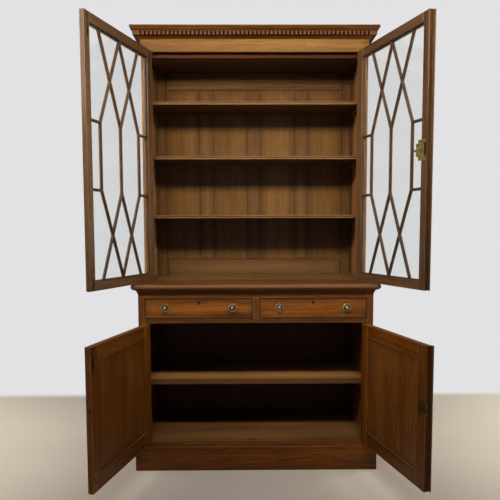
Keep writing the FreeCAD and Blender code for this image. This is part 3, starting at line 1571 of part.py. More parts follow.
def knob(name, x):
    """A dished rose with a turned knob on a shank through the drawer front, revolved in one."""
    body = doc.addObject("PartDesign::Body", name)
    head_middle = knob_reach - knob_head
    neck_top = head_middle - root(knob_head * knob_head - knob_neck * knob_neck)
    sketch = new_sketch(body, name + "_sketch", "XY_Plane", 0, [
        (0, drawer_front_thick + nut_thick),
        (shank_radius, drawer_front_thick + nut_thick),
        (shank_radius, 0),
        (rose_radius, 0),
        (rose_radius, -rose_thick / 2, -rose_round),
        (rose_radius - rose_thick, -rose_thick),
        (rose_dish + rose_thick, -rose_thick),
        (rose_dish, -rose_floor),
        (knob_neck * 2, -rose_floor),
        (knob_neck, -knob_flare),
        (knob_neck, -neck_top, -knob_head),
        (0, -knob_reach),
    ])
    turned = body.newObject("PartDesign::Revolution", name + "_turned")
    turned.Profile = sketch
    turned.ReferenceAxis = (sketch, ["V_Axis"])
    turned.Angle = 360
    place(body, x, drawer_face, knob_level)
    return body


def drawer_fittings():
    """Two knobs with their nuts, the keyhole plate and the lock's case."""
    pieces = []
    for index, x in enumerate(knob_places()):
        pieces.append(knob("knob%d" % index, x))
        nut_y = (drawer_front_back, drawer_front_back + nut_thick)
        nut = rod_along_y("nut_blank%d" % index, x, nut_y, knob_level, nut_radius)
        eye = rod_along_y("nut_eye%d" % index, x, nut_y, knob_level, shank_radius)
        pieces.append(cut("nut%d" % index, nut, eye))
    plate_y = (drawer_face - plate_thick / 2, drawer_face)
    pieces.append(cut("keyhole_plate", keyhole("keyhole_outer", keyhole_radius, keyhole_drop, plate_y),
                      keyhole("keyhole_inner", keyhole_radius / 2, key_bore_drop,
                              (plate_y[0] - overcut, plate_y[1] + overcut))))
    case = board("drawer_lock_case",
                 (drawer_middle - drawer_lock_width / 2, drawer_middle + drawer_lock_width / 2),
                 (drawer_front_back - drawer_lock_depth, drawer_front_back),
                 (drawer_lock_top - drawer_lock_height, drawer_lock_top))
    channel = board("drawer_lock_channel",
                    (drawer_bolt_x[0] - slide_clearance, drawer_bolt_x[1] + slide_clearance),
                    (drawer_bolt_y[0] - slide_clearance, drawer_bolt_y[1] + slide_clearance),
                    (drawer_bolt_z[0] - slide_clearance, drawer_lock_top + overcut))
    pieces.append(cut("drawer_lock", case, channel))
    pair("fittings", group("drawer_fittings", *pieces))


def drawer_lock_bolt():
    pair("lock_bolt", board("drawer_lock_bolt", drawer_bolt_x, drawer_bolt_y, drawer_bolt_z))


# ---------------------------------------------------------------------------------------------------
# Build, check and write
# ---------------------------------------------------------------------------------------------------
base_sides()
base_floor()
base_front_rails()
base_bearers()
base_shelf()
base_back()
plinth()
waist()
upper_sides()
upper_boards()
frieze()
cornice()
dentils()
panelled_back()
shelf_racks()
shelf_battens()
for shelf_label, shelf_notch in zip(("lowest_shelf", "middle_shelf", "highest_shelf"), shelf_notches):
    upper_shelf(shelf_label, shelf_notch)
glazed_frames()
glazing_bars()
glass_panes()
panelled_frames()
door_panels()
cover_bead("upper_right_door_bead", upper_door)
cover_bead("lower_right_door_bead", lower_door)
hinges()
flush_bolts()
upper_latch()
lower_lock()
drawer_front()
drawer_box()
drawer_fittings()
drawer_lock_bolt()
doc.recompute()

for thing in doc.Objects:
    if "Invalid" in thing.State or "Error" in thing.State:
        raise RuntimeError("%s did not build: %s" % (thing.Name, thing.State))
for piece in sub_parts:
    if piece.Shape.isNull() or not piece.Shape.isValid() or not piece.Shape.Solids:
        raise RuntimeError("%s has no sound shape" % piece.Label)

os.makedirs("parts", exist_ok=True)
for piece in sub_parts:
    piece.Shape.exportStep(os.path.join("parts", piece.Label + ".step"))
print("%d nodes, %d solids" % (len(sub_parts), sum(len(piece.Shape.Solids) for piece in sub_parts)))
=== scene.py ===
# %% [markdown]
# # A glazed bookcase in old mahogany
#
# Every board, hinge, bolt and pane of this bookcase is already modelled as a solid. This notebook gives
# those solids the surfaces that make them look like a real piece of furniture: french polished wood with its
# grain along every board, aged brass, old window glass and the putty that holds it.
#
# The first cell brings the solids in. They are in metres, with X to the right, Y to the back and Z up, and
# they stay exactly where they are.

import json
import math

import bmesh
import bpy
import numpy as np
from mathutils import Matrix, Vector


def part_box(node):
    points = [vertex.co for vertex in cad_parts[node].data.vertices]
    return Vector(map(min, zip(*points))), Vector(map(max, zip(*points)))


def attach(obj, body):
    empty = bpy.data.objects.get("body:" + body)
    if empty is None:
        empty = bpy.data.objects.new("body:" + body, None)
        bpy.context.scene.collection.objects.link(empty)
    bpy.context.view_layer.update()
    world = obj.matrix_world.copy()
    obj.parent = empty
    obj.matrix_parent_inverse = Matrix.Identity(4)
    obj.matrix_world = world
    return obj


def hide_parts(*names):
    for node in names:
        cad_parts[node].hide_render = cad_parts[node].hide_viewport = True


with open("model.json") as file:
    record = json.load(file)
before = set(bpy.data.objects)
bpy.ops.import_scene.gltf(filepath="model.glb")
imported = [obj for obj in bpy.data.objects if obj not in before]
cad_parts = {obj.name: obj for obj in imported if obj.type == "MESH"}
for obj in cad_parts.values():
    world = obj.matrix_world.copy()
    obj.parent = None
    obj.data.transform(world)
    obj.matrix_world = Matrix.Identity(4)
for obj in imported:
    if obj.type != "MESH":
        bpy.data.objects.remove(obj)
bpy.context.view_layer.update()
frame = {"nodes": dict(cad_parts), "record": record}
solids = frame["nodes"]
record = frame["record"]
body_of = {node: body for body, nodes in record["behaviour"]["bodies"].items() for node in nodes}
slot_of = {row["node"]: row["material_slot"] for row in record["subparts"]}

# %% [markdown]
# ## Colours and nodes
#
# Colours are easiest to choose as the hex values of a colour picker, but a shader works with the amount of
# light, so one function turns the first into the second. Another adds a shader node with its settings and
# its links in one line, which keeps each material short enough to read. The third starts a material.

# %% Three small helpers


def colour(code):
    """An sRGB hex colour as linear red, green and blue, with an alpha of 1.

    Each two digits are a share of 255. A share up to 0.04045 is divided by 12.92. A larger one gets 0.055
    added, is divided by 1.055 and is raised to the power of 2.4.
    """
    share = np.array([int(code[i:i + 2], 16) for i in (1, 3, 5)]) / 255
    light = np.where(share <= 0.04045, share / 12.92, ((share + 0.055) / 1.055) ** 2.4)
    return (*light.tolist(), 1.0)


def add(tree, kind, inputs=None, **settings):
    """Add a shader node. Its settings are given by name, and each input is a value or the socket to link."""
    node = tree.nodes.new("ShaderNode" + kind)
    for name, value in settings.items():
        setattr(node, name, value)
    for name, value in (inputs or {}).items():
        if isinstance(value, bpy.types.NodeSocket):
            tree.links.new(value, node.inputs[name])
        else:
            node.inputs[name].default_value = value
    return node


def blank_material(name):
    """A new material with an empty node tree."""
    material = bpy.data.materials.new(name)
    material.use_nodes = True
    material.node_tree.nodes.clear()
    return material, material.node_tree


print("mid mahogany in linear light:", [round(c, 3) for c in colour("#7a4520")])

# %% [markdown]
# ## The camera
#
# The bookcase is seen from the front at chest height, with the camera tipped down a little. A small shift of
# the lens, as on a view camera, brings the cornice into view without tipping the camera up, so the upright
# lines stay nearly upright. The camera's three directions (right, upward and ahead) are worked out from its
# angles and become the columns of its matrix.

# %% Camera
eye = np.array([-0.0506, -2.7809, 1.1729])
yaw, tip, roll = math.radians(0.49), math.radians(-4.23), math.radians(-0.16)
ahead = np.array([math.sin(yaw) * math.cos(tip), math.cos(yaw) * math.cos(tip), math.sin(tip)])
level = np.array([math.cos(yaw), -math.sin(yaw), 0.0])
upward = np.cross(level, ahead)
right = math.cos(roll) * level + math.sin(roll) * upward
upward = math.cos(roll) * upward - math.sin(roll) * level

lens = bpy.data.cameras.new("camera")
lens.lens = 37.78
lens.sensor_width = 36.0
lens.shift_y = 0.0439
camera = bpy.data.objects.new("camera", lens)
bpy.context.collection.objects.link(camera)
place = np.eye(4)
place[:3, 0], place[:3, 1], place[:3, 2], place[:3, 3] = right, upward, -ahead, eye
camera.matrix_world = Matrix(place.tolist())
bpy.context.scene.camera = camera
bpy.context.scene.view_settings.view_transform = "Standard"
print("camera at", eye, "looking along", ahead.round(3))

# %% [markdown]
# ## The floor
#
# A plain pale floor carries the shadow. In a studio a roll of paper curves up behind the object, so that no
# edge shows. Here the floor stays flat and runs out of sight, and further off, behind the bookcase and on
# every side, it glows in the off-white of the surroundings.
#
# The glow is only there to be seen. Light Path tells the rays of the camera, of mirrors and of glass from
# those that light the wood, and these find plain matt paint. The far glow is left out of mirrors too, or the
# polish of the drawers would show it.

# %% A pale floor
backdrop_white = colour("#e2e2e4")
reach = 40.0
glow_behind, glow_around = (0.90, 1.02), (1.8, 3.6)

floor_mesh = bpy.data.meshes.new("floor")
floor_mesh.from_pydata([(-reach, -reach, 0), (reach, -reach, 0), (reach, reach, 0), (-reach, reach, 0)],
                       [], [(0, 1, 2, 3)])
floor = bpy.data.objects.new("floor", floor_mesh)
bpy.context.collection.objects.link(floor)

floor_paint, tree = blank_material("matt_studio_floor_paint")
where = add(tree, "TexCoord").outputs["Object"]
depth = add(tree, "SeparateXYZ", {0: where}).outputs["Y"]
behind = add(tree, "MapRange", {"Value": depth, "From Min": glow_behind[0], "From Max": glow_behind[1]},
             interpolation_type="SMOOTHSTEP")
distance = add(tree, "VectorMath", {0: where}, operation="LENGTH").outputs["Value"]
around = add(tree, "MapRange", {"Value": distance, "From Min": glow_around[0], "From Max": glow_around[1]},
             interpolation_type="SMOOTHSTEP")
ray = add(tree, "LightPath").outputs
sees = add(tree, "Math", {0: ray["Is Camera Ray"], 1: ray["Is Glossy Ray"]}, operation="MAXIMUM")
sees = add(tree, "Math", {0: sees.outputs[0], 1: ray["Is Transmission Ray"]}, operation="MAXIMUM")
back = add(tree, "Math", {0: sees.outputs[0], 1: behind.outputs[0]}, operation="MULTIPLY")
rim = add(tree, "Math", {0: ray["Is Camera Ray"], 1: around.outputs[0]}, operation="MULTIPLY")
share = add(tree, "Math", {0: back.outputs[0], 1: rim.outputs[0]}, operation="MAXIMUM")
matt = add(tree, "BsdfDiffuse", {"Color": colour("#a89d8f")})
glow = add(tree, "Emission", {"Color": backdrop_white, "Strength": 1.0})
mix = add(tree, "MixShader", {0: share.outputs[0], 1: matt.outputs[0], 2: glow.outputs[0]})
add(tree, "OutputMaterial", {"Surface": mix.outputs[0]})
floor_mesh.materials.append(floor_paint)
print("the floor glows from", glow_behind[0], "m behind and", glow_around[0], "m around")

# %% [markdown]
# ## The surroundings
#
# The camera and the panes see the surroundings at full strength. Polish mirrors them more weakly, and most
# weakly those in front of the bookcase, where a room is darker than by its pale walls. What they add to the
# light on the wood is weaker still, so that the inside of the case stays dark.

# %% Off-white surroundings
world = bpy.data.worlds.new("pale_surroundings")
bpy.context.scene.world = world
world.use_nodes = True
tree = world.node_tree
tree.nodes.clear()
heading = add(tree, "TexCoord").outputs["Generated"]
depth = add(tree, "SeparateXYZ", {0: heading}).outputs["Y"]
walls = add(tree, "MapRange", {"Value": depth, "From Min": -0.35, "From Max": 0.25, "To Min": 0.10,
                               "To Max": 0.42}, interpolation_type="SMOOTHSTEP")
seen = add(tree, "Background", {"Color": backdrop_white, "Strength": 1.0})
mirrored = add(tree, "Background", {"Color": backdrop_white, "Strength": walls.outputs[0]})
lit = add(tree, "Background", {"Color": colour("#f4f2ee"), "Strength": 0.02})
ray = add(tree, "LightPath").outputs
sees = add(tree, "Math", {0: ray["Is Camera Ray"], 1: ray["Is Transmission Ray"]}, operation="MAXIMUM")
mix = add(tree, "MixShader", {0: ray["Is Glossy Ray"], 1: lit.outputs[0], 2: mirrored.outputs[0]})
mix = add(tree, "MixShader", {0: sees.outputs[0], 1: mix.outputs[0], 2: seen.outputs[0]})
add(tree, "OutputWorld", {"Surface": mix.outputs[0]})
print("surroundings seen at", seen.inputs["Strength"].default_value, "of full strength")

# %% [markdown]
# ## Lamps
#
# The main light is a wide, low panel high in front. It reaches in under each shelf, so the upper half of
# every bay lies in the shadow of the shelf above and the lower half is lit. A large panel at each side
# stands for the pale room, and lights the open doors. Weaker ones above, in front and at the upper left
# soften the shadows, and two narrow beams light only the floor beside the bookcase.
#
# A near, strong lamp shows in polish as a pale patch that makes a flat board look chalky, so the three
# strongest don't show in reflections. A narrow strip above does the opposite. It lights nothing and shows
# only in reflections, as the thin bright line along a nosing or round the rim of a knob.

# %% Soft lamps


def soft_lamp(name, spot, target, size, power, spread=180):
    """A rectangular lamp at spot that faces target; size is its width and height, power is in watts.

    The columns of its matrix are a level direction to its side, the one upward at right angles to that, and
    the one back from the target.
    """
    light = bpy.data.lights.new(name, "AREA")
    light.shape = "RECTANGLE"
    light.size, light.size_y = size
    light.energy = power
    light.spread = math.radians(spread)
    lamp = bpy.data.objects.new(name, light)
    bpy.context.collection.objects.link(lamp)
    back = np.array(spot, float) - np.array(target, float)
    back /= np.linalg.norm(back)
    side = np.cross([0.0, 0.0, 1.0], back)
    side /= np.linalg.norm(side)
    turn = np.eye(4)
    turn[:3, 0], turn[:3, 1], turn[:3, 2], turn[:3, 3] = side, np.cross(back, side), back, spot
    lamp.matrix_world = Matrix(turn.tolist())
    lamp.visible_camera = False
    return lamp


strong = [
    soft_lamp("high_lamp", (-0.1, -1.34, 2.31), (0.0, 0.1, 1.3), (1.8, 0.24), 27, 105),
    soft_lamp("left_lamp", (-3.2, 0.2, 1.1), (0.0, -0.2, 0.7), (2.4, 2.2), 75),
    soft_lamp("right_lamp", (3.2, 0.2, 1.1), (0.0, -0.2, 0.7), (2.4, 2.2), 140),
]
for lamp in strong:
    lamp.visible_glossy = False
weak = [
    soft_lamp("ceiling_lamp", (0.0, -0.8, 3.4), (0.0, -0.7, 0.0), (4.0, 3.0), 7),
    soft_lamp("front_lamp", (0.0, -4.2, 1.0), (0.0, 0.0, 0.9), (3.0, 2.2), 4),
    soft_lamp("window_lamp", (-3.3, -2.4, 3.1), (0.0, 0.0, 1.2), (1.3, 1.5), 34),
    soft_lamp("left_floor_lamp", (-2.3, -0.4, 3.0), (-2.2, -0.4, 0.0), (1.2, 1.2), 15, 64),
    soft_lamp("right_floor_lamp", (2.3, -0.4, 3.0), (2.2, -0.4, 0.0), (1.2, 1.2), 9, 64),
]
strip_lamp = soft_lamp("strip_lamp", (0.0, -1.9, 3.3), (0.0, -0.2, 1.2), (3.4, 0.3), 20)
strip_lamp.visible_diffuse = False
print(len(strong) + len(weak) + 1, "soft lamps")

# %% [markdown]
# ## Boards with grain
#
# In a real bookcase the grain follows every board: up the stiles, along the rails and shelves. A node here
# can hold several boards, so a copy of it is taken apart in numbers: corners joined by edges belong to one
# board. Each board gets its own grain coordinates, with the first one along its length, and its own place in
# the figure, so that no two boards look alike. The copy also gets a fine chamfer on its edges, as a worn
# arris has, which catches the light.
#
# A door is stored open, so its points are first turned back to the shut door, where its boards lie square.

# %% Turning a door's points shut
hinge_of = {joint["child"]: joint for joint in record["behaviour"]["joints"] if joint["type"] == "hinge"}


def shut(points, body, share=1):
    """A door's points turned about its hinge's upright axis until it is shut; share -1 opens it again.

    The pin's place is taken away, the rest is turned by the angle of the shut door, and the pin comes back.
    """
    if body not in hinge_of:
        return points
    hinge = hinge_of[body]
    angle = math.radians(hinge["range_deg"][0]) * hinge["axis"][2] * share
    cosine, sine = math.cos(angle), math.sin(angle)
    turn = np.array([[cosine, -sine, 0], [sine, cosine, 0], [0, 0, 1]])
    pin = np.array(hinge["pos_m"])
    return (points - pin) @ turn.T + pin


print("hinged bodies:", sorted(hinge_of))

# %% [markdown]
# Blender hands over a mesh's numbers fastest as whole arrays. To tell the boards apart, every corner starts
# with its own number and takes the lowest one among its neighbours, again and again, until each board has
# only one number left.

# %% Numbers of a mesh


def read(collection, name, width, kind=np.float64):
    """A property of all of a mesh's vertices, edges, corners or faces, as one array with a row for each."""
    values = np.empty(len(collection) * width, kind)
    collection.foreach_get(name, values)
    return values.reshape(-1, width) if width > 1 else values


def lowest_reached(count, first, second):
    """The lowest number each of count things can reach along links from first to second.

    Each takes the lowest number among its neighbours, and then that one's number, until none changes.
    """
    lowest = np.arange(count)
    while True:
        before = lowest.copy()
        np.minimum.at(lowest, first, before[second])
        np.minimum.at(lowest, second, before[first])
        lowest = lowest[lowest]
        if (lowest == before).all():
            return lowest


def extents(points, number):
    """The lowest and the highest corner of the points that have each number, as two arrays."""
    low, high = np.full((number.max() + 1, 3), np.inf), np.full((number.max() + 1, 3), -np.inf)
    np.minimum.at(low, number, points)
    np.maximum.at(high, number, points)
    return low, high


steps = lowest_reached(5, np.array([1, 3]), np.array([2, 4]))
print("five things, linked 1 to 2 and 3 to 4, end up numbered", steps.tolist())

# %% [markdown]
# Two boards that touch along an edge would count as one, as a stile and a rail do whose faces are flush. So
# the edges where four triangles meet get a closer look, round the edge, to see which two of them close the
# same board.

# %% Taking a piece apart into boards


def boards_apart(mesh):
    """The points and triangles of a solid's mesh, so joined that each board has points of its own.

    Points that round to the same hundredth of a millimetre are one. Where two triangles share an edge they
    belong to one board. Where four do, two boards touch: going round the edge, wood fills the space from a
    triangle that runs backward along the edge to the next one that runs forward, and these two belong
    together. Faces that lie on each other count as a whole turn apart, which is what the small step is for.
    """
    points = read(mesh.vertices, "co", 3)
    mesh.calc_loop_triangles()
    triangles = read(mesh.loop_triangles, "vertices", 3, np.int64)
    first, same = np.unique(np.round(points * 1e5), axis=0, return_index=True, return_inverse=True)[1:]
    points, triangles = points[first], same.ravel()[triangles]
    triangles = triangles[(triangles != np.roll(triangles, 1, axis=1)).all(axis=1)]
    start, end, tip = (np.roll(triangles, -turn, axis=1).ravel() for turn in range(3))
    ends = np.sort(np.stack([start, end], axis=1), axis=1)
    edge, uses = np.unique(ends, axis=0, return_inverse=True, return_counts=True)[1:]
    edge = edge.ravel()

    along = points[ends[:, 1]] - points[ends[:, 0]]
    level = np.cross(along, np.eye(3)[np.abs(along).argmin(axis=1)])
    level /= np.linalg.norm(level, axis=1, keepdims=True)
    upright = np.cross(along / np.linalg.norm(along, axis=1, keepdims=True), level)
    inward = points[tip] - points[start]
    angle = np.arctan2((inward * upright).sum(axis=1), (inward * level).sum(axis=1))

    order = np.lexsort((start < end, edge))
    pairs = order[uses[edge[order]] == 2].reshape(-1, 2)
    fours = order[uses[edge[order]] == 4].reshape(-1, 4)
    backward, forward = fours[:, :2], fours[:, 2:]
    small_step = 1e-3
    gap = np.mod(angle[forward][:, None, :] - angle[backward][:, :, None] - small_step, 2 * math.pi)
    partner = np.take_along_axis(forward, gap.argmin(axis=2), axis=1)
    pairs = np.concatenate([pairs, np.stack([backward.ravel(), partner.ravel()], axis=1)]) // 3
    board = lowest_reached(len(triangles), pairs[:, 0], pairs[:, 1])
    keys, corner = np.unique(triangles * len(triangles) + board[:, None], return_inverse=True)
    return points[keys // len(triangles)], corner.reshape(-1, 3)


points, triangles = boards_apart(solids["back_frame"].data)
print("the frame of the panelled back has", len(points), "corners and", len(triangles), "triangles")

# %% [markdown]
# The copy that gets the finish has whole faces again instead of triangles, and a chamfer of half a
# millimetre along its sharp edges. Mouldings keep the edges of their own profile.

# %% A copy with softened edges


def joined_copy(node, soften):
    """A copy of a solid's mesh with its edges chamfered by soften metres.

    Triangles within 0.4 degrees of each other join into one face. Edges sharper than 50 degrees get the
    chamfer, and those sharper than 30 degrees stay crisp in the shading.
    """
    points, triangles = boards_apart(solids[node].data)
    mesh = bpy.data.meshes.new(node + "_wood")
    mesh.from_pydata(points.tolist(), [], triangles.tolist())
    shape = bmesh.new()
    shape.from_mesh(mesh)
    bmesh.ops.dissolve_limit(shape, angle_limit=math.radians(0.4), verts=shape.verts, edges=shape.edges)
    if soften:
        sharp = [edge for edge in shape.edges
                 if len(edge.link_faces) == 2 and edge.calc_face_angle() > math.radians(50)]
        bmesh.ops.bevel(shape, geom=sharp, offset=soften, offset_type="OFFSET", segments=1, profile=0.5,
                        affect="EDGES", clamp_overlap=True)
    shape.to_mesh(mesh)
    shape.free()
    mesh.polygons.foreach_set("use_smooth", np.ones(len(mesh.polygons), bool))
    mesh.set_sharp_from_angle(angle=math.radians(30))
    return mesh


trial = joined_copy("plinth", 0.0005)
print("the plinth's copy has", len(trial.polygons), "faces")
bpy.data.meshes.remove(trial)

# %% [markdown]
# Each corner of the copy gets four things to remember: where it lies along and across the grain, where it
# lies in its board, how large that board is, and the board's own tone. The material reads them by name.
# Chance picks each board's tone and its place in the figure, as if each was sawn from another log.

# %% Grain for every board
chance = np.random.default_rng(1847)
figure_reach = 40.0


def grain_of(mesh, body, along=None, wraps=None):
    """Grain coordinates for each corner of a mesh, its place in its board, half sizes and a random tone.

    The first coordinate runs along the board's longest side, or along the axis given. A moulding that wraps
    round a case runs along Y where a face is further out sideways than forwards of the wraps (x, y) corner,
    so it counts as three boards: front, right and left.
    """
    points = shut(read(mesh.vertices, "co", 3), body)
    links = read(mesh.edges, "vertices", 2, np.int64)
    number = np.unique(lowest_reached(len(points), links[:, 0], links[:, 1]), return_inverse=True)[1]
    boards = number.max() + 1
    low, high = extents(points, number)
    half, middle = (high - low) / 2, (high + low) / 2
    corner = read(mesh.loops, "vertex_index", 1, np.int64)
    face = np.repeat(np.arange(len(mesh.polygons)), read(mesh.polygons, "loop_total", 1, np.int64))
    owner = number[corner]
    longest = half.argmax(1) if along is None else np.full(boards, "XYZ".index(along))
    axis = longest[owner]
    piece = owner.copy()
    if wraps is not None:
        centre = shut(read(mesh.polygons, "center", 3), body)
        sideways = np.abs(centre[:, 0]) - wraps[0] > wraps[1] - centre[:, 1]
        axis = np.where(sideways[face], 1, 0)
        piece = np.where(sideways[face], np.where(centre[face, 0] > 0, 1, 2), 0)
    spot = points[corner]
    order = (axis[:, None] + np.arange(3)) % 3
    offsets = chance.uniform(-figure_reach, figure_reach, (max(boards, 3), 3))
    grain = np.take_along_axis(spot, order, 1) + offsets[piece]
    tones = chance.uniform(0, 1, max(boards, 3))
    return grain, spot - middle[owner], half[owner], tones[piece]


print("a board's grain starts up to", figure_reach, "m from the middle of the figure")

# %% [markdown]
# A dressed piece stands for its node: it rides on the same body, and the solid it replaces isn't shown.
# Weighted normals keep broad faces flat beside the narrow chamfers.

# %% Dressing a node


def store(mesh, name, values):
    """Write a value or a vector for every corner of the mesh, under a name that its material can read."""
    kind, key = ("FLOAT", "value") if values.ndim == 1 else ("FLOAT_VECTOR", "vector")
    attribute = mesh.attributes.new(name, kind, "CORNER")
    attribute.data.foreach_set(key, np.ascontiguousarray(values, np.float32).ravel())


def dressed(node, material, soften=0.0005, along=None, wraps=None):
    """The node's boards as one new piece that stands for it, with their grain and the material given."""
    mesh = joined_copy(node, soften)
    grain, spot, half, tone = grain_of(mesh, body_of[node], along, wraps)
    store(mesh, "grain", grain)
    store(mesh, "spot", spot)
    store(mesh, "half", half)
    store(mesh, "tone", tone)
    mesh.materials.append(material)
    piece = bpy.data.objects.new(node + "_wood", mesh)
    bpy.context.collection.objects.link(piece)
    flat = piece.modifiers.new("flat_faces_stay_flat", "WEIGHTED_NORMAL")
    flat.keep_sharp = True
    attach(piece, body_of[node])
    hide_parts(node)
    return piece


print(len(slot_of), "nodes to finish, in", sorted(set(slot_of.values())))

# %% [markdown]
# ## Mahogany
#
# Mahogany shows three things at once: broad ribbons a few centimetres wide, where the grain lies one way and
# then the other, finer streaks of a few millimetres, and short dark pores. Each is noise stretched along
# the grain. Ribbons and streaks have their real size. A real pore is 0.1 to 0.3 mm wide and a bundle of
# fibres less than 1 mm, too fine to show at this distance, so both are drawn as coarse as they need to be.

# %% Patterns along the grain
ribbon_length, streak_length = 0.5, 0.35
fibre_length, fibre_width = 0.045, 0.0026
pore_length, pore_width = 0.006, 0.00045
cloud_length, cloud_width = 0.30, 0.22


def wandering(tree, grain):
    """Grain coordinates that stray sideways, by a centimetre or so over half a metre: noise times 5 cm."""
    slow = add(tree, "Mapping", {"Vector": grain, "Scale": (1.6, 5, 5)})
    noise = add(tree, "TexNoise", {"Vector": slow.outputs[0], "Scale": 1.0, "Detail": 2.0})
    drift = add(tree, "VectorMath", {0: noise.outputs["Color"], 1: (0.5, 0.5, 0.5)}, operation="SUBTRACT")
    return add(tree, "VectorMath", {0: drift.outputs[0], 1: (0.0, 0.05, 0.05), 2: grain},
               operation="MULTIPLY_ADD").outputs[0]


def stretched(tree, grain, along, across, detail):
    """Noise whose spots are along metres long and across metres wide: a spot of noise spans half a unit."""
    spread = add(tree, "Mapping", {"Vector": grain, "Scale": (0.5 / along, 0.5 / across, 0.5 / across)})
    return add(tree, "TexNoise", {"Vector": spread.outputs[0], "Scale": 1.0, "Detail": detail,
                                  "Roughness": 0.6}).outputs["Fac"]


def figure_of(tree, patterns, contrast):
    """The sum of the patterns, each times its weight, spread over 0 to 1: more contrast is steeper.

    The weights add up to 1.2 and a pattern averages 0.5, so the middle of the sum is 0.6.
    """
    total = 0.0
    for pattern, weight in patterns:
        total = add(tree, "Math", {0: pattern, 1: weight, 2: total}, operation="MULTIPLY_ADD").outputs[0]
    middle, spread = 0.60, 0.17 / contrast
    return add(tree, "MapRange", {"Value": total, "From Min": middle - spread,
                                  "From Max": middle + spread}).outputs[0]


print("fibres are drawn", 1000 * fibre_width, "mm wide and pores", 1000 * pore_width, "mm")

# %% [markdown]
# French polish is a thin coat of shellac, rubbed on with a pad until it shines. On an old piece it is
# thinner on the edges, where hands have worn it, and the pale edges here are also a painted highlight along
# each arris. Dust gathers in clouds near the edges, and the corners, the gaps between dentils and the
# hollows of mouldings are darkened as painted shade. Dust and painted shade are both dull. How far a point
# is from the nearest edge of its board is the middle one of its three distances from the board's sides.

# %% Dust, painted shade, wear and painted highlight
dirt_reach = 0.05
wear_and_highlight_full, wear_and_highlight_reach = 0.0006, 0.0030
recess_shade_start, recess_shade_full = 0.001, 0.005
hollow_shade_width = 0.012


def middle_of(tree, vector):
    """The middle one of a vector's three numbers, and the lesser of its first two.

    The middle one is the greater of two: the lesser of x and y, and the lesser of z and the greater of x
    and y.
    """
    x, y, z = add(tree, "SeparateXYZ", {0: vector}).outputs
    least = add(tree, "Math", {0: x, 1: y}, operation="MINIMUM").outputs[0]
    most = add(tree, "Math", {0: x, 1: y}, operation="MAXIMUM").outputs[0]
    upper = add(tree, "Math", {0: most, 1: z}, operation="MINIMUM").outputs[0]
    return add(tree, "Math", {0: least, 1: upper}, operation="MAXIMUM").outputs[0], least


def dirt_and_shade_on(tree, edge, depth, clouds, grime, recess_shade, hollow_shade):
    """How dark the dust and the painted shade lie, from 0 to 1: the most of edge dust, gap shade and hollow
    shade.

    Edges gather clouds of dust, thinner inwards over the dust's reach. Recess_shade is painted shade on what
    lies 1 to 5 mm behind the outermost faces, as between dentils. Hollow_shade is painted shade in corners
    where the piece itself closes off 5 to 65 per cent of the air within a hollow's width, as along the
    quirks of a moulding.
    """
    near = add(tree, "MapRange", {"Value": edge, "From Min": 0.0, "From Max": dirt_reach, "To Min": 1.0,
                                  "To Max": 0.0}, interpolation_type="SMOOTHSTEP")
    dirt_and_shade = add(tree, "Math", {0: near.outputs[0], 1: clouds}, operation="MULTIPLY")
    dirt_and_shade = add(tree, "Math", {0: dirt_and_shade.outputs[0], 1: grime}, operation="MULTIPLY")
    # Painted shade: what lies 1 to 5 mm behind the outermost faces, as in the gaps between dentils, is
    # darkened.
    if recess_shade:
        sunk = add(tree, "MapRange", {"Value": depth, "From Min": recess_shade_start, "From Max": recess_shade_full,
                                      "To Max": recess_shade})
        dirt_and_shade = add(tree, "Math", {0: dirt_and_shade.outputs[0], 1: sunk.outputs[0]}, operation="MAXIMUM")
    # Painted shade in the hollows of the piece, from how much of the air near a point it closes off.
    if hollow_shade:
        air = add(tree, "AmbientOcclusion", {"Distance": hollow_shade_width}, samples=8, only_local=True)
        closed = add(tree, "MapRange", {"Value": air.outputs["AO"], "From Min": 0.35, "From Max": 0.95,
                                        "To Min": hollow_shade, "To Max": 0.0})
        dirt_and_shade = add(tree, "Math", {0: dirt_and_shade.outputs[0], 1: closed.outputs[0]}, operation="MAXIMUM")
    return dirt_and_shade.outputs[0]


def wear_and_highlight_on(tree, edge, streaks, wear_and_highlight):
    """How much an edge takes the pale colour, from 0 to 1, partly wear and partly a painted highlight along
    the
    arris: full at first, fading to none at its reach, in streaks.

    Streaks average 0.5, so with the 1.6 full strength averages 0.8 and reaches 1 in the pale streaks.
    """
    wear_highlight_share = add(tree, "MapRange", {"Value": edge, "From Min": wear_and_highlight_full, "From Max": wear_and_highlight_reach,
                                    "To Min": 1.0, "To Max": 0.0})
    wear_highlight_share = add(tree, "Math", {0: wear_highlight_share.outputs[0], 1: streaks}, operation="MULTIPLY")
    return add(tree, "Math", {0: wear_highlight_share.outputs[0], 1: wear_and_highlight * 1.6}, operation="MULTIPLY",
               use_clamp=True).outputs[0]


def seam_beside(tree, edge, half, seam):
    """The dark line where a board meets its neighbours, seam metres wide and fading over 0.7 of that.

    Slender beads are kept clean: there's none under a half width of 6 mm, and all of it over 10 mm.
    """
    broad = add(tree, "MapRange", {"Value": middle_of(tree, half)[0], "From Min": 0.006, "From Max": 0.010})
    line = add(tree, "MapRange", {"Value": edge, "From Min": seam, "From Max": seam * 1.7, "To Min": 0.75,
                                  "To Max": 0.0})
    return add(tree, "Math", {0: line.outputs[0], 1: broad.outputs[0]}, operation="MULTIPLY").outputs[0]


def forwards(tree):
    """How squarely a face looks forwards: the front share of its direction, from 0.6 to 0.9, as 0 to 0.8."""
    facing = add(tree, "VectorMath", {0: add(tree, "TexCoord").outputs["Normal"], 1: (0, -1, 0)},
                 operation="DOT_PRODUCT")
    return add(tree, "MapRange", {"Value": facing.outputs["Value"], "From Min": 0.6, "From Max": 0.9,
                                  "To Max": 0.8}).outputs[0]


print("dirt reaches", 1000 * dirt_reach, "mm in from an edge and wear", 1000 * wear_and_highlight_reach, "mm")
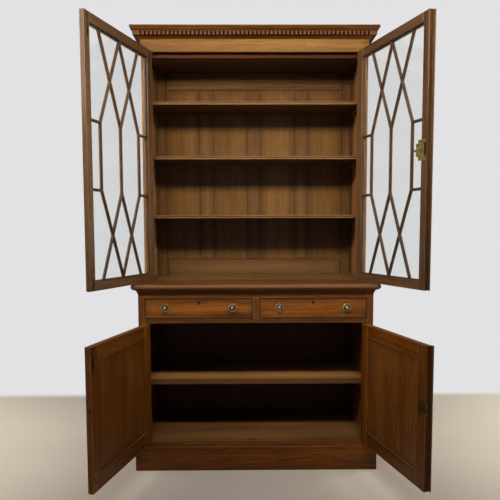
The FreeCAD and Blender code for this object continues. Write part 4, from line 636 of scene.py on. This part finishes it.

# %% [markdown]
# One function puts a wood together from these. The figure gives its colour, from dark over mid to light, and
# over it lie pores, dust with painted shade, pale edges of wear and painted highlight, and seams, each a
# colour with a share that says how much it covers.
# Under the polish the pores and streaks stay a little uneven to the touch, which is the bump. Shellac has an
# index of refraction of about 1.5, and the rubbed film of it is smoother than the wood, which is the coat.
#
# Its first wood is the frieze's. Sun and air have faded that to an orange gold, clear under its polish.

# %% A wood finish


def wood(name, dark, mid, light, worn_and_highlit, ribbon=0.035, streak=0.006, contrast=1.0, roughness=0.34, coat=0.25,
         specular=0.35, wear_and_highlight=0.5, grime=0.35, recess_shade=0.0, hollow_shade=0.0, seam=0.0, front_edge=None):
    """Polished or waxed wood, whose pale edges are partly wear and partly a painted highlight.

    Ribbon, streak and seam are widths in metres. A real seam is a hair's breadth, and is drawn about 2 mm
    wide on each board to show. Wear_and_highlight, grime, recess_shade and hollow_shade say how strong each
    is, from 0 to 1; the last two are painted shade. Front_edge is the colour of the faces that look
    forwards, where
    it differs: a painted highlight on the waist's nosing, and a darker front on the loose shelf.
    """
    material, tree = blank_material(name)
    grain, spot, half = (add(tree, "Attribute", attribute_name=stored).outputs["Vector"]
                         for stored in ("grain", "spot", "half"))
    tone = add(tree, "Attribute", attribute_name="tone").outputs["Fac"]
    grain = wandering(tree, grain)
    ribbons = stretched(tree, grain, ribbon_length, ribbon, 1.0)
    streaks = stretched(tree, grain, streak_length, streak, 3.0)
    fibres = stretched(tree, grain, fibre_length, fibre_width, 3.0)
    pores = stretched(tree, grain, pore_length, pore_width, 1.0)
    clouds = stretched(tree, grain, cloud_length, cloud_width, 2.0)
    inset = add(tree, "VectorMath", {0: spot}, operation="ABSOLUTE")
    inset = add(tree, "VectorMath", {0: half, 1: inset.outputs[0]}, operation="SUBTRACT")
    edge, depth = middle_of(tree, inset.outputs[0])

    patterns = ((ribbons, 0.26), (streaks, 0.34), (fibres, 0.32), (clouds, 0.18), (tone, 0.10))
    ramp = add(tree, "ValToRGB", {"Fac": figure_of(tree, patterns, contrast)})
    ramp.color_ramp.elements[0].color = colour(dark)
    ramp.color_ramp.elements[1].color = colour(light)
    ramp.color_ramp.elements.new(0.5).color = colour(mid)
    tint = ramp.outputs[0]

    in_pores = add(tree, "MapRange", {"Value": pores, "From Min": 0.60, "From Max": 0.70}).outputs[0]
    dirt_and_shade = dirt_and_shade_on(tree, edge, depth, clouds, grime, recess_shade, hollow_shade)
    # Over the figure: pores, then dust together with painted shade, then pale edges that are partly wear and
    # partly painted highlight.
    layers = [(in_pores, dark), (dirt_and_shade, "#1a0c05"), (wear_and_highlight_on(tree, edge, streaks, wear_and_highlight), worn_and_highlit)]
    if seam:
        layers.append((seam_beside(tree, edge, half, seam), "#140803"))
    # Faces that look forwards take their own colour: a painted highlight on the waist's nosing, a darker
    # front on the loose shelf.
    if front_edge:
        layers.append((forwards(tree), front_edge))
    for share, paint in layers:
        tint = add(tree, "Mix", {"Factor": share, "A": tint, "B": colour(paint)},
                   data_type="RGBA").outputs["Result"]

    # The polish is a little duller in clouds and along fibres, and much duller where dust and painted shade
    # lie.
    dull = add(tree, "MapRange", {"Value": clouds, "From Min": 0.3, "From Max": 0.7,
                                  "To Min": roughness - 0.06, "To Max": roughness + 0.08})
    dull = add(tree, "Math", {0: fibres, 1: 0.10, 2: dull.outputs[0]}, operation="MULTIPLY_ADD")
    dull = add(tree, "Math", {0: dirt_and_shade, 1: 0.6, 2: dull.outputs[0]}, operation="MULTIPLY_ADD", use_clamp=True)
    height = add(tree, "Math", {0: pores, 1: -0.5, 2: streaks}, operation="MULTIPLY_ADD")
    bump = add(tree, "Bump", {"Height": height.outputs[0], "Strength": 0.35, "Distance": 0.0004})
    surface = add(tree, "BsdfPrincipled", {"Base Color": tint, "Roughness": dull.outputs[0],
                                           "Normal": bump.outputs[0], "IOR": 1.5,
                                           "Specular IOR Level": specular, "Coat Weight": coat,
                                           "Coat Roughness": 0.16, "Coat IOR": 1.5})
    add(tree, "OutputMaterial", {"Surface": surface.outputs[0]})
    return material


faded_mahogany = wood("faded_french_polished_mahogany", "#442609", "#6d4517", "#86602a", "#937842",
                      ribbon=0.05, contrast=1.2, roughness=0.36, coat=0.2, grime=0.45, hollow_shade=0.85)
print(faded_mahogany.name, "is made of", len(faded_mahogany.node_tree.nodes), "nodes")

# %% [markdown]
# The woods of this piece have aged apart. The cornice and the waist are dark, with pale edges that are
# partly rubbed by hands and dusters and partly a painted highlight, and the whole front of the waist's
# nosing carries a painted highlight. The glazed doors have turned a greyer brown, and the case sides behind
# them have bleached. The drawer fronts, cut from figured wood and polished best, are orange brown, and the
# base below them is a deep one.

# %% The polished woods
# The gaps between the dentils are painted nearly black as shade.
dentil_mahogany = wood("french_polished_dentil_mahogany", "#44230a", "#6c401b", "#84582f", "#916f4b",
                       ribbon=0.05, contrast=0.9, coat=0.0, specular=0.2, grime=0.45, recess_shade=0.97)
cornice_mahogany = wood("french_polished_cornice_mahogany", "#2b1304", "#4a280d", "#663e19", "#ab8050",
                        ribbon=0.045, contrast=0.9, roughness=0.42, coat=0.0, specular=0.12, wear_and_highlight=0.9,
                        grime=0.4, hollow_shade=0.85)
# The front of the waist's nosing is lightened as a painted highlight.
waist_mahogany = wood("french_polished_waist_mahogany", "#2b1304", "#4a280d", "#663e19", "#ab8050",
                      ribbon=0.045, contrast=0.9, roughness=0.36, coat=0.15, wear_and_highlight=0.9, grime=0.4,
                      hollow_shade=0.85, front_edge="#6e4626")
side_mahogany = wood("bleached_french_polished_mahogany", "#5c361d", "#966139", "#c6915a", "#d7ae7e",
                     ribbon=0.045, contrast=0.9, roughness=0.36, coat=0.2, grime=0.4)
door_mahogany = wood("french_polished_door_mahogany", "#2b1508", "#4e3217", "#6b4d29", "#7e633e",
                     ribbon=0.03, wear_and_highlight=0.6, grime=0.4, hollow_shade=0.85)
drawer_mahogany = wood("figured_french_polished_mahogany", "#341604", "#623204", "#834b12", "#8e6328",
                       ribbon=0.028, contrast=1.5, roughness=0.28, grime=0.5, hollow_shade=0.85, seam=0.0018)
deep_mahogany = wood("deep_french_polished_mahogany", "#2f1705", "#5b320f", "#83511b", "#8c6638",
                     ribbon=0.04, contrast=0.8, coat=0.12, specular=0.25, wear_and_highlight=0.55, grime=0.4,
                     hollow_shade=0.85)
dark_mahogany = wood("dark_french_polished_mahogany", "#321601", "#5f3003", "#874d06", "#8a5e34",
                     ribbon=0.04, streak=0.0045, roughness=0.38, coat=0.05, specular=0.2, wear_and_highlight=0.55,
                     grime=0.4, hollow_shade=0.85)
print(len(bpy.data.materials), "materials so far, up to", dark_mahogany.name)

# %% [markdown]
# The insides of the upper case were only waxed, which leaves them dull, with hardly any coat, and the front
# edges of its shelves are pale, partly worn by books and hands and partly a painted highlight. The
# cupboard's floor and loose shelf and the drawers' boxes are of a paler, plainer wood, planed and left bare,
# and the loose shelf is darker on its faces that look forwards. Bare too, and darkened by age, are the
# boards that nobody sees, behind the cupboard and over the top shelf.

# %% The waxed and the bare woods
inner_mahogany = wood("waxed_inner_mahogany", "#341e0a", "#593b1b", "#71522a", "#795d35", ribbon=0.03,
                      contrast=0.65, roughness=0.54, coat=0.05, wear_and_highlight=0.4, grime=0.5)
shelf_mahogany = wood("waxed_shelf_mahogany", "#2f1706", "#4c2f13", "#5f4020", "#9c764c", contrast=0.8,
                      roughness=0.50, coat=0.05, wear_and_highlight=0.9, grime=0.3)
back_mahogany = wood("waxed_back_frame_mahogany", "#331d0a", "#583b1f", "#71522c", "#795d35", ribbon=0.03,
                     contrast=0.65, roughness=0.54, coat=0.05, wear_and_highlight=0.1, grime=0.5, seam=0.0022)
plain_pine = wood("planed_cupboard_pine", "#402610", "#654422", "#785835", "#85623f", ribbon=0.05,
                  streak=0.009, contrast=0.8, roughness=0.52, coat=0.0, wear_and_highlight=0.4, grime=0.5)
# This shelf is darker on its faces that look forwards.
shelf_pine = wood("planed_shelf_pine_dark_front", "#523115", "#80562b", "#976e41", "#a67b4e",
                  ribbon=0.05, streak=0.009, contrast=0.8, roughness=0.52, coat=0.0, wear_and_highlight=0.4, grime=0.5,
                  front_edge="#4e3216")
dark_pine = wood("planed_age_darkened_pine", "#291004", "#482510", "#5c331a", "#633c22", ribbon=0.03,
                 contrast=0.8, roughness=0.60, coat=0.0, wear_and_highlight=0.4, grime=0.5)
print(len(bpy.data.materials), "materials so far, up to", dark_pine.name)

# %% [markdown]
# Now every node of wood gets its finish. Mouldings, thin bars and shelves keep their edges as they are, and
# the small dentils get a finer chamfer. Where the grain doesn't follow a board's longest side, its axis is
# given: the grain of panels and back boards stands upright. A moulding that is mitred round a corner turns
# with it, and the corner it turns round is read from the frieze above and from the case side below.

# %% Finishing the wood
no_chamfer, fine_chamfer = {"soften": 0}, {"soften": 0.0003}
case_low, case_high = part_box("frieze")
base_low, base_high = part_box("base_side_right")
round_case = {"wraps": (case_high[0], case_low[1])}
round_base = {"wraps": (base_high[0], base_low[1])}

wood_of = [
    ("frieze", faded_mahogany, {}),
    ("base_front_rails", deep_mahogany, {}),
    ("cornice", cornice_mahogany, no_chamfer | round_case),
    ("dentils", dentil_mahogany, fine_chamfer | round_case),
    ("waist_board", waist_mahogany, no_chamfer),
    ("waist_moulding", dark_mahogany, no_chamfer | round_base),
    ("upper_side_left", side_mahogany, {}),
    ("upper_side_right", side_mahogany, {}),
    ("base_side_left", deep_mahogany, {}),
    ("base_side_right", deep_mahogany, {}),
    ("plinth", dark_mahogany, {}),
]
for side in ("left", "right"):
    wood_of += [
        ("upper_%s_door_frame" % side, door_mahogany, {}),
        ("upper_%s_door_bars" % side, door_mahogany, no_chamfer | {"along": "Z"}),
        ("lower_%s_door_frame" % side, dark_mahogany, {}),
        ("lower_%s_door_panel" % side, deep_mahogany, {"along": "Z"}),
        ("%s_drawer_front" % side, drawer_mahogany, {"soften": 0.0004}),
        ("%s_drawer_box" % side, plain_pine, {}),
    ]
wood_of += [
    ("upper_right_door_bead", door_mahogany, no_chamfer),
    ("lower_right_door_bead", door_mahogany, no_chamfer),
    ("back_frame", back_mahogany, {}),
    ("upper_top", dark_pine, {}),
    ("upper_floor", inner_mahogany, {}),
    ("back_panels", inner_mahogany, {}),
    ("shelf_racks", inner_mahogany, no_chamfer),
    ("shelf_battens", inner_mahogany, {}),
    ("lowest_shelf", shelf_mahogany, no_chamfer),
    ("middle_shelf", shelf_mahogany, no_chamfer),
    ("highest_shelf", shelf_mahogany, no_chamfer),
    ("base_floor", plain_pine, {}),
    ("base_bearers", plain_pine, {}),
    ("base_shelf", shelf_pine, {}),
    ("base_back", dark_pine, {"along": "Z"}),
]
pieces = [dressed(node, finish, **how) for node, finish, how in wood_of]
print(len(pieces), "wooden pieces with", sum(len(piece.data.polygons) for piece in pieces), "faces")

# %% [markdown]
# ## Aged brass
#
# The hinges, bolts, locks, knobs and plates are cast and rolled brass. Unlacquered brass goes from gold to
# olive brown, and stays bright only where fingers rub it. It is a metal, so its colour is in its
# reflection.
#
# Round each knob lies a dish, which no finger reaches into, so it stays dark. The knobs' places are worked
# out from the box of one drawer's fittings, which ends at the rims of its two knobs.

# %% Where the knobs are
rim_radius = 0.0205
dish_inside, dish_outside, dish_fade = 0.0088, 0.0138, 0.0010
low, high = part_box("right_drawer_fittings")
half_gap = (high[0] - low[0]) / 2 - rim_radius
knob_places = (half_gap, (high[0] + low[0]) / 2, low[2] + rim_radius)
print("the knobs of a drawer are", round(2 * half_gap, 4), "m apart and", round(knob_places[2], 4), "m up")

# %% [markdown]
# Tarnish lies in blotches of 11 mm, 90 to the metre, and is rougher where it is darker. Over them are specks
# of 1.1 mm, drawn a little coarser than the real grain of a casting so that they show. Bare metal needs no
# index of refraction of its own.

# %% A brass finish


def aged_brass(name, dark, mid, light, roughness, knobs=None):
    """Brass whose tarnish goes from dark to light in blotches of about a centimetre.

    Knobs, given as (half the gap between a drawer's two, their middle, their height), have a dark dish
    round them, and a dark keyhole plate between them. Taking the middle from the size of X, and half the gap
    from the size of what is left, makes it zero at all four knobs.
    """
    material, tree = blank_material(name)
    where = add(tree, "TexCoord").outputs["Object"]
    blotch = add(tree, "TexNoise", {"Vector": where, "Scale": 90.0, "Detail": 4.0, "Roughness": 0.6})
    speck = add(tree, "TexNoise", {"Vector": where, "Scale": 900.0, "Detail": 2.0})
    tarnish = add(tree, "MapRange", {"Value": blotch.outputs["Fac"], "From Min": 0.30, "From Max": 0.70})
    ramp = add(tree, "ValToRGB", {"Fac": tarnish.outputs[0]})
    ramp.color_ramp.elements[0].color = colour(dark)
    ramp.color_ramp.elements[1].color = colour(light)
    ramp.color_ramp.elements.new(0.5).color = colour(mid)
    tint = ramp.outputs[0]
    if knobs:
        half_gap, middle, level = knobs
        x, _, z = add(tree, "SeparateXYZ", {0: where}).outputs
        for width in (middle, half_gap):
            x = add(tree, "Math", {0: x}, operation="ABSOLUTE").outputs[0]
            x = add(tree, "Math", {0: x, 1: width}, operation="SUBTRACT").outputs[0]
        z = add(tree, "Math", {0: z, 1: level}, operation="SUBTRACT").outputs[0]
        offset = add(tree, "CombineXYZ", {0: x, 1: z}).outputs[0]
        radius = add(tree, "VectorMath", {0: offset}, operation="LENGTH").outputs["Value"]
        beyond = add(tree, "MapRange", {"Value": radius, "From Min": dish_inside,
                                        "From Max": dish_inside + dish_fade})
        within = add(tree, "MapRange", {"Value": radius, "From Min": dish_outside,
                                        "From Max": dish_outside + dish_fade, "To Min": 1.0, "To Max": 0.0})
        ring = add(tree, "Math", {0: beyond.outputs[0], 1: within.outputs[0]}, operation="MULTIPLY")
        keyhole = add(tree, "Math", {0: x, 1: -half_gap / 2}, operation="LESS_THAN")
        for share, paint in ((ring, "#1c1408"), (keyhole, "#2e2210")):
            tint = add(tree, "Mix", {"Factor": share.outputs[0], "A": tint, "B": colour(paint)},
                       data_type="RGBA").outputs["Result"]
    gloss = add(tree, "MapRange", {"Value": tarnish.outputs[0], "To Min": roughness + 0.1,
                                   "To Max": roughness - 0.08})
    bump = add(tree, "Bump", {"Height": speck.outputs["Fac"], "Strength": 0.25, "Distance": 0.0002})
    metal = add(tree, "BsdfPrincipled", {"Base Color": tint, "Metallic": 1.0, "Roughness": gloss.outputs[0],
                                         "Normal": bump.outputs[0]})
    add(tree, "OutputMaterial", {"Surface": metal.outputs[0]})
    return material


plate_brass = aged_brass("aged_rolled_brass", "#4a3b1e", "#6f5a30", "#94804c", 0.46)
print(plate_brass.name, "is made of", len(plate_brass.node_tree.nodes), "nodes")

# %% [markdown]
# Plates, hinges and bolts are rolled brass that nobody touches, and the darkest. The latch is pushed with a
# thumb, and the knobs are pulled every day, so these two are brighter.

# %% Brass on its nodes
latch_brass = aged_brass("thumbed_cast_brass", "#5e4e26", "#9c8648", "#cdb878", 0.40)
knob_brass = aged_brass("handled_cast_brass", "#b39d6c", "#dccb9c", "#f0e4c0", 0.44, knobs=knob_places)


def finish_solid(node, material):
    """Give a solid that is shown as it is its material, in place of those of all its slots."""
    solid = solids[node]
    if not solid.material_slots:
        solid.data.materials.append(material)
    for slot in solid.material_slots:
        slot.material = material


brass_nodes = [node for node, slot in slot_of.items() if slot == "aged_brass"]
for node in brass_nodes:
    if "drawer_fittings" in node:
        finish_solid(node, knob_brass)
    elif "latch" in node:
        finish_solid(node, latch_brass)
    else:
        finish_solid(node, plate_brass)
print(len(brass_nodes), "brass nodes")

# %% [markdown]
# ## Old window glass
#
# The panes are drawn sheet glass, with an index of refraction of 1.5: clear, faintly green and not quite
# flat. Swells a decimetre wide, 9 to the metre, make reflections swim, and patches of dusty film, 35 to the
# metre, make them a little hazy. Real glass lets lamplight through to what is behind it, so the shader is
# clear for the rays that look for lamps.

# %% Glass
window_glass, tree = blank_material("drawn_window_glass")
where = add(tree, "TexCoord").outputs["Object"]
swell = add(tree, "TexNoise", {"Vector": where, "Scale": 9.0, "Detail": 1.0})
film = add(tree, "TexNoise", {"Vector": where, "Scale": 35.0, "Detail": 3.0})
haze = add(tree, "MapRange", {"Value": film.outputs["Fac"], "From Min": 0.4, "From Max": 0.7, "To Min": 0.0,
                              "To Max": 0.05})
bump = add(tree, "Bump", {"Height": swell.outputs["Fac"], "Strength": 0.15, "Distance": 0.004})
pane = add(tree, "BsdfPrincipled", {"Base Color": colour("#fcfefd"), "Transmission Weight": 1.0, "IOR": 1.5,
                                    "Roughness": haze.outputs[0], "Normal": bump.outputs[0]})
clear = add(tree, "BsdfTransparent", {"Color": colour("#f6faf8")})
ray = add(tree, "LightPath")
mix = add(tree, "MixShader", {0: ray.outputs["Is Shadow Ray"], 1: pane.outputs[0], 2: clear.outputs[0]})
add(tree, "OutputMaterial", {"Surface": mix.outputs[0]})
for node in ("upper_left_door_glass", "upper_right_door_glass"):
    finish_solid(node, window_glass)
print(window_glass.name, "on two doors")

# %% [markdown]
# ## Putty
#
# Behind the bars the panes lie in rebates, and a fillet of linseed putty, pressed in with the thumb and
# struck off with a knife, holds them. Seen from inside, these slopes make up much of a bar's width. Each
# pane's outline is read from its solid, and its sides are moved in and out. The closed ring between the
# moved outlines is the fillet.

# %% Outlines moved sideways


def moved_in(outline, steps):
    """The corners of a convex outline whose sides are moved inwards by the given steps.

    Each new corner is where two neighbouring moved sides cross: two equations, solved for all at once.
    """
    along = np.roll(outline, -1, axis=0) - outline
    inward = np.stack([-along[:, 1], along[:, 0]], axis=1) / np.linalg.norm(along, axis=1, keepdims=True)
    reach = (inward * outline).sum(axis=1) + steps
    sides = np.stack([np.roll(inward, 1, axis=0), inward], axis=1)
    return np.linalg.solve(sides, np.stack([np.roll(reach, 1), reach], axis=1)[:, :, None])[:, :, 0]


square = np.array([[0, 0], [4, 0], [4, 4], [0, 4]], float)
print("a square of 4 with its sides moved in by 1 has the corners", moved_in(square, np.ones(4)).tolist())

# %% [markdown]
# The fillet's slope runs from its full height, at the edge of the bar, down to its toe on the glass. The toe
# reaches further in beside the frame, whose rebate is deeper, than beside the thin ribs between the panes.

# %% A ring of putty
putty_height = 0.0062
putty_under_bar = 0.0009
toe_beside_frame, toe_beside_rib = 0.0058, 0.0034
toe_height = 0.0010
off_glass = 0.00002


def putty_ring(outline, beside_frame):
    """Points and faces of one fillet: x, depth and z on four outlines, each joined to the next.

    The outlines go round its cross section: the foot and the top of its back, then the top and the foot of
    its toe. Both feet are a hair off the glass.
    """
    outer = moved_in(outline, np.full(len(outline), -putty_under_bar))
    toe = moved_in(outline, np.where(beside_frame, toe_beside_frame, toe_beside_rib))
    levels = ((outer, off_glass), (outer, putty_height), (toe, toe_height), (toe, off_glass))
    points = np.concatenate([np.insert(loop, 1, level, axis=1) for loop, level in levels])
    count = len(outline)
    first = np.arange(4)[:, None] * count + np.arange(count)
    after = np.roll(first, -1, axis=1)
    over, over_after = np.roll(first, -1, axis=0), np.roll(after, -1, axis=0)
    return points, np.stack([first, after, over_after, over], axis=2).reshape(-1, 4)


print("a ring round a square pane has", len(putty_ring(square, np.ones(4, bool))[1]), "faces")

# %% [markdown]
# Putty is chalk in linseed oil. It has darkened with the years and was stained to match the bars, unevenly,
# in patches of 17 mm, 60 to the metre, and its knife-struck face is matt. It is made darker still as painted
# shade, so that it draws the shaded sides of the bars.

# %% Putty finish
linseed_putty, tree = blank_material("knife_struck_linseed_putty")
where = add(tree, "TexCoord").outputs["Object"]
mottle = add(tree, "TexNoise", {"Vector": where, "Scale": 60.0, "Detail": 4.0, "Roughness": 0.6})
ramp = add(tree, "ValToRGB", {"Fac": mottle.outputs["Fac"]})
# These dark ends are partly the putty's own colour and partly painted shade along the sides of the bars.
for end, position, code in ((0, 0.35, "#180d06"), (1, 0.68, "#36230f")):
    ramp.color_ramp.elements[end].position = position
    ramp.color_ramp.elements[end].color = colour(code)
bump = add(tree, "Bump", {"Height": mottle.outputs["Fac"], "Strength": 0.3, "Distance": 0.0005})
matt = add(tree, "BsdfPrincipled", {"Base Color": ramp.outputs[0], "Roughness": 0.55,
                                    "Normal": bump.outputs[0]})
add(tree, "OutputMaterial", {"Surface": matt.outputs[0]})
print("putty in", linseed_putty.name)

# %% [markdown]
# A pane's outline is its corners on the inner face, put in order. The putty is made on the shut door, where
# the glass is upright and square, and is then turned open with it. Each door's putty is one piece that rides
# on the door.

# %% Putty round the panes
at_rim = 0.0005


def rings_round_panes(node):
    """Points and faces of the fillets round all panes of a door, turned shut, and the number of panes.

    A pane's outline is its corners on the inner face, in order of their angle round its middle. A side of it
    lies beside the frame where its midpoint is at the rim of all the glass together.
    """
    points, triangles = boards_apart(solids[node].data)
    points = shut(points, body_of[node])
    ends = triangles[:, [0, 1, 1, 2, 2, 0]].reshape(-1, 2)
    pane_of = lowest_reached(len(points), ends[:, 0], ends[:, 1])
    inner_face = points[:, 1] > points[:, 1].mean()
    low, high = points.min(axis=0), points.max(axis=0)
    rings, faces, count = [], [], 0
    for pane in np.unique(pane_of):
        corners = points[(pane_of == pane) & inner_face][:, [0, 2]]
        around = corners - corners.mean(axis=0)
        outline = corners[np.argsort(np.arctan2(around[:, 1], around[:, 0]))]
        middle_of_side = (outline + np.roll(outline, -1, axis=0)) / 2
        to_rim = np.minimum(middle_of_side - low[[0, 2]], high[[0, 2]] - middle_of_side).min(axis=1)
        ring, ring_faces = putty_ring(outline, to_rim < at_rim)
        rings.append(ring)
        faces.append(ring_faces + count)
        count += len(ring)
    rings = np.concatenate(rings)
    rings[:, 1] += high[1]
    return rings, np.concatenate(faces), len(faces)


for side in ("left", "right"):
    node = "upper_%s_door_glass" % side
    points, faces, panes = rings_round_panes(node)
    mesh = bpy.data.meshes.new("putty")
    mesh.from_pydata(shut(points, body_of[node], -1).tolist(), [], faces.tolist())
    shape = bmesh.new()
    shape.from_mesh(mesh)
    bmesh.ops.recalc_face_normals(shape, faces=shape.faces)
    shape.to_mesh(mesh)
    shape.free()
    mesh.materials.append(linseed_putty)
    piece = bpy.data.objects.new("upper_%s_door_putty" % side, mesh)
    bpy.context.collection.objects.link(piece)
    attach(piece, body_of[node])
    print(piece.name, "round", panes, "panes")
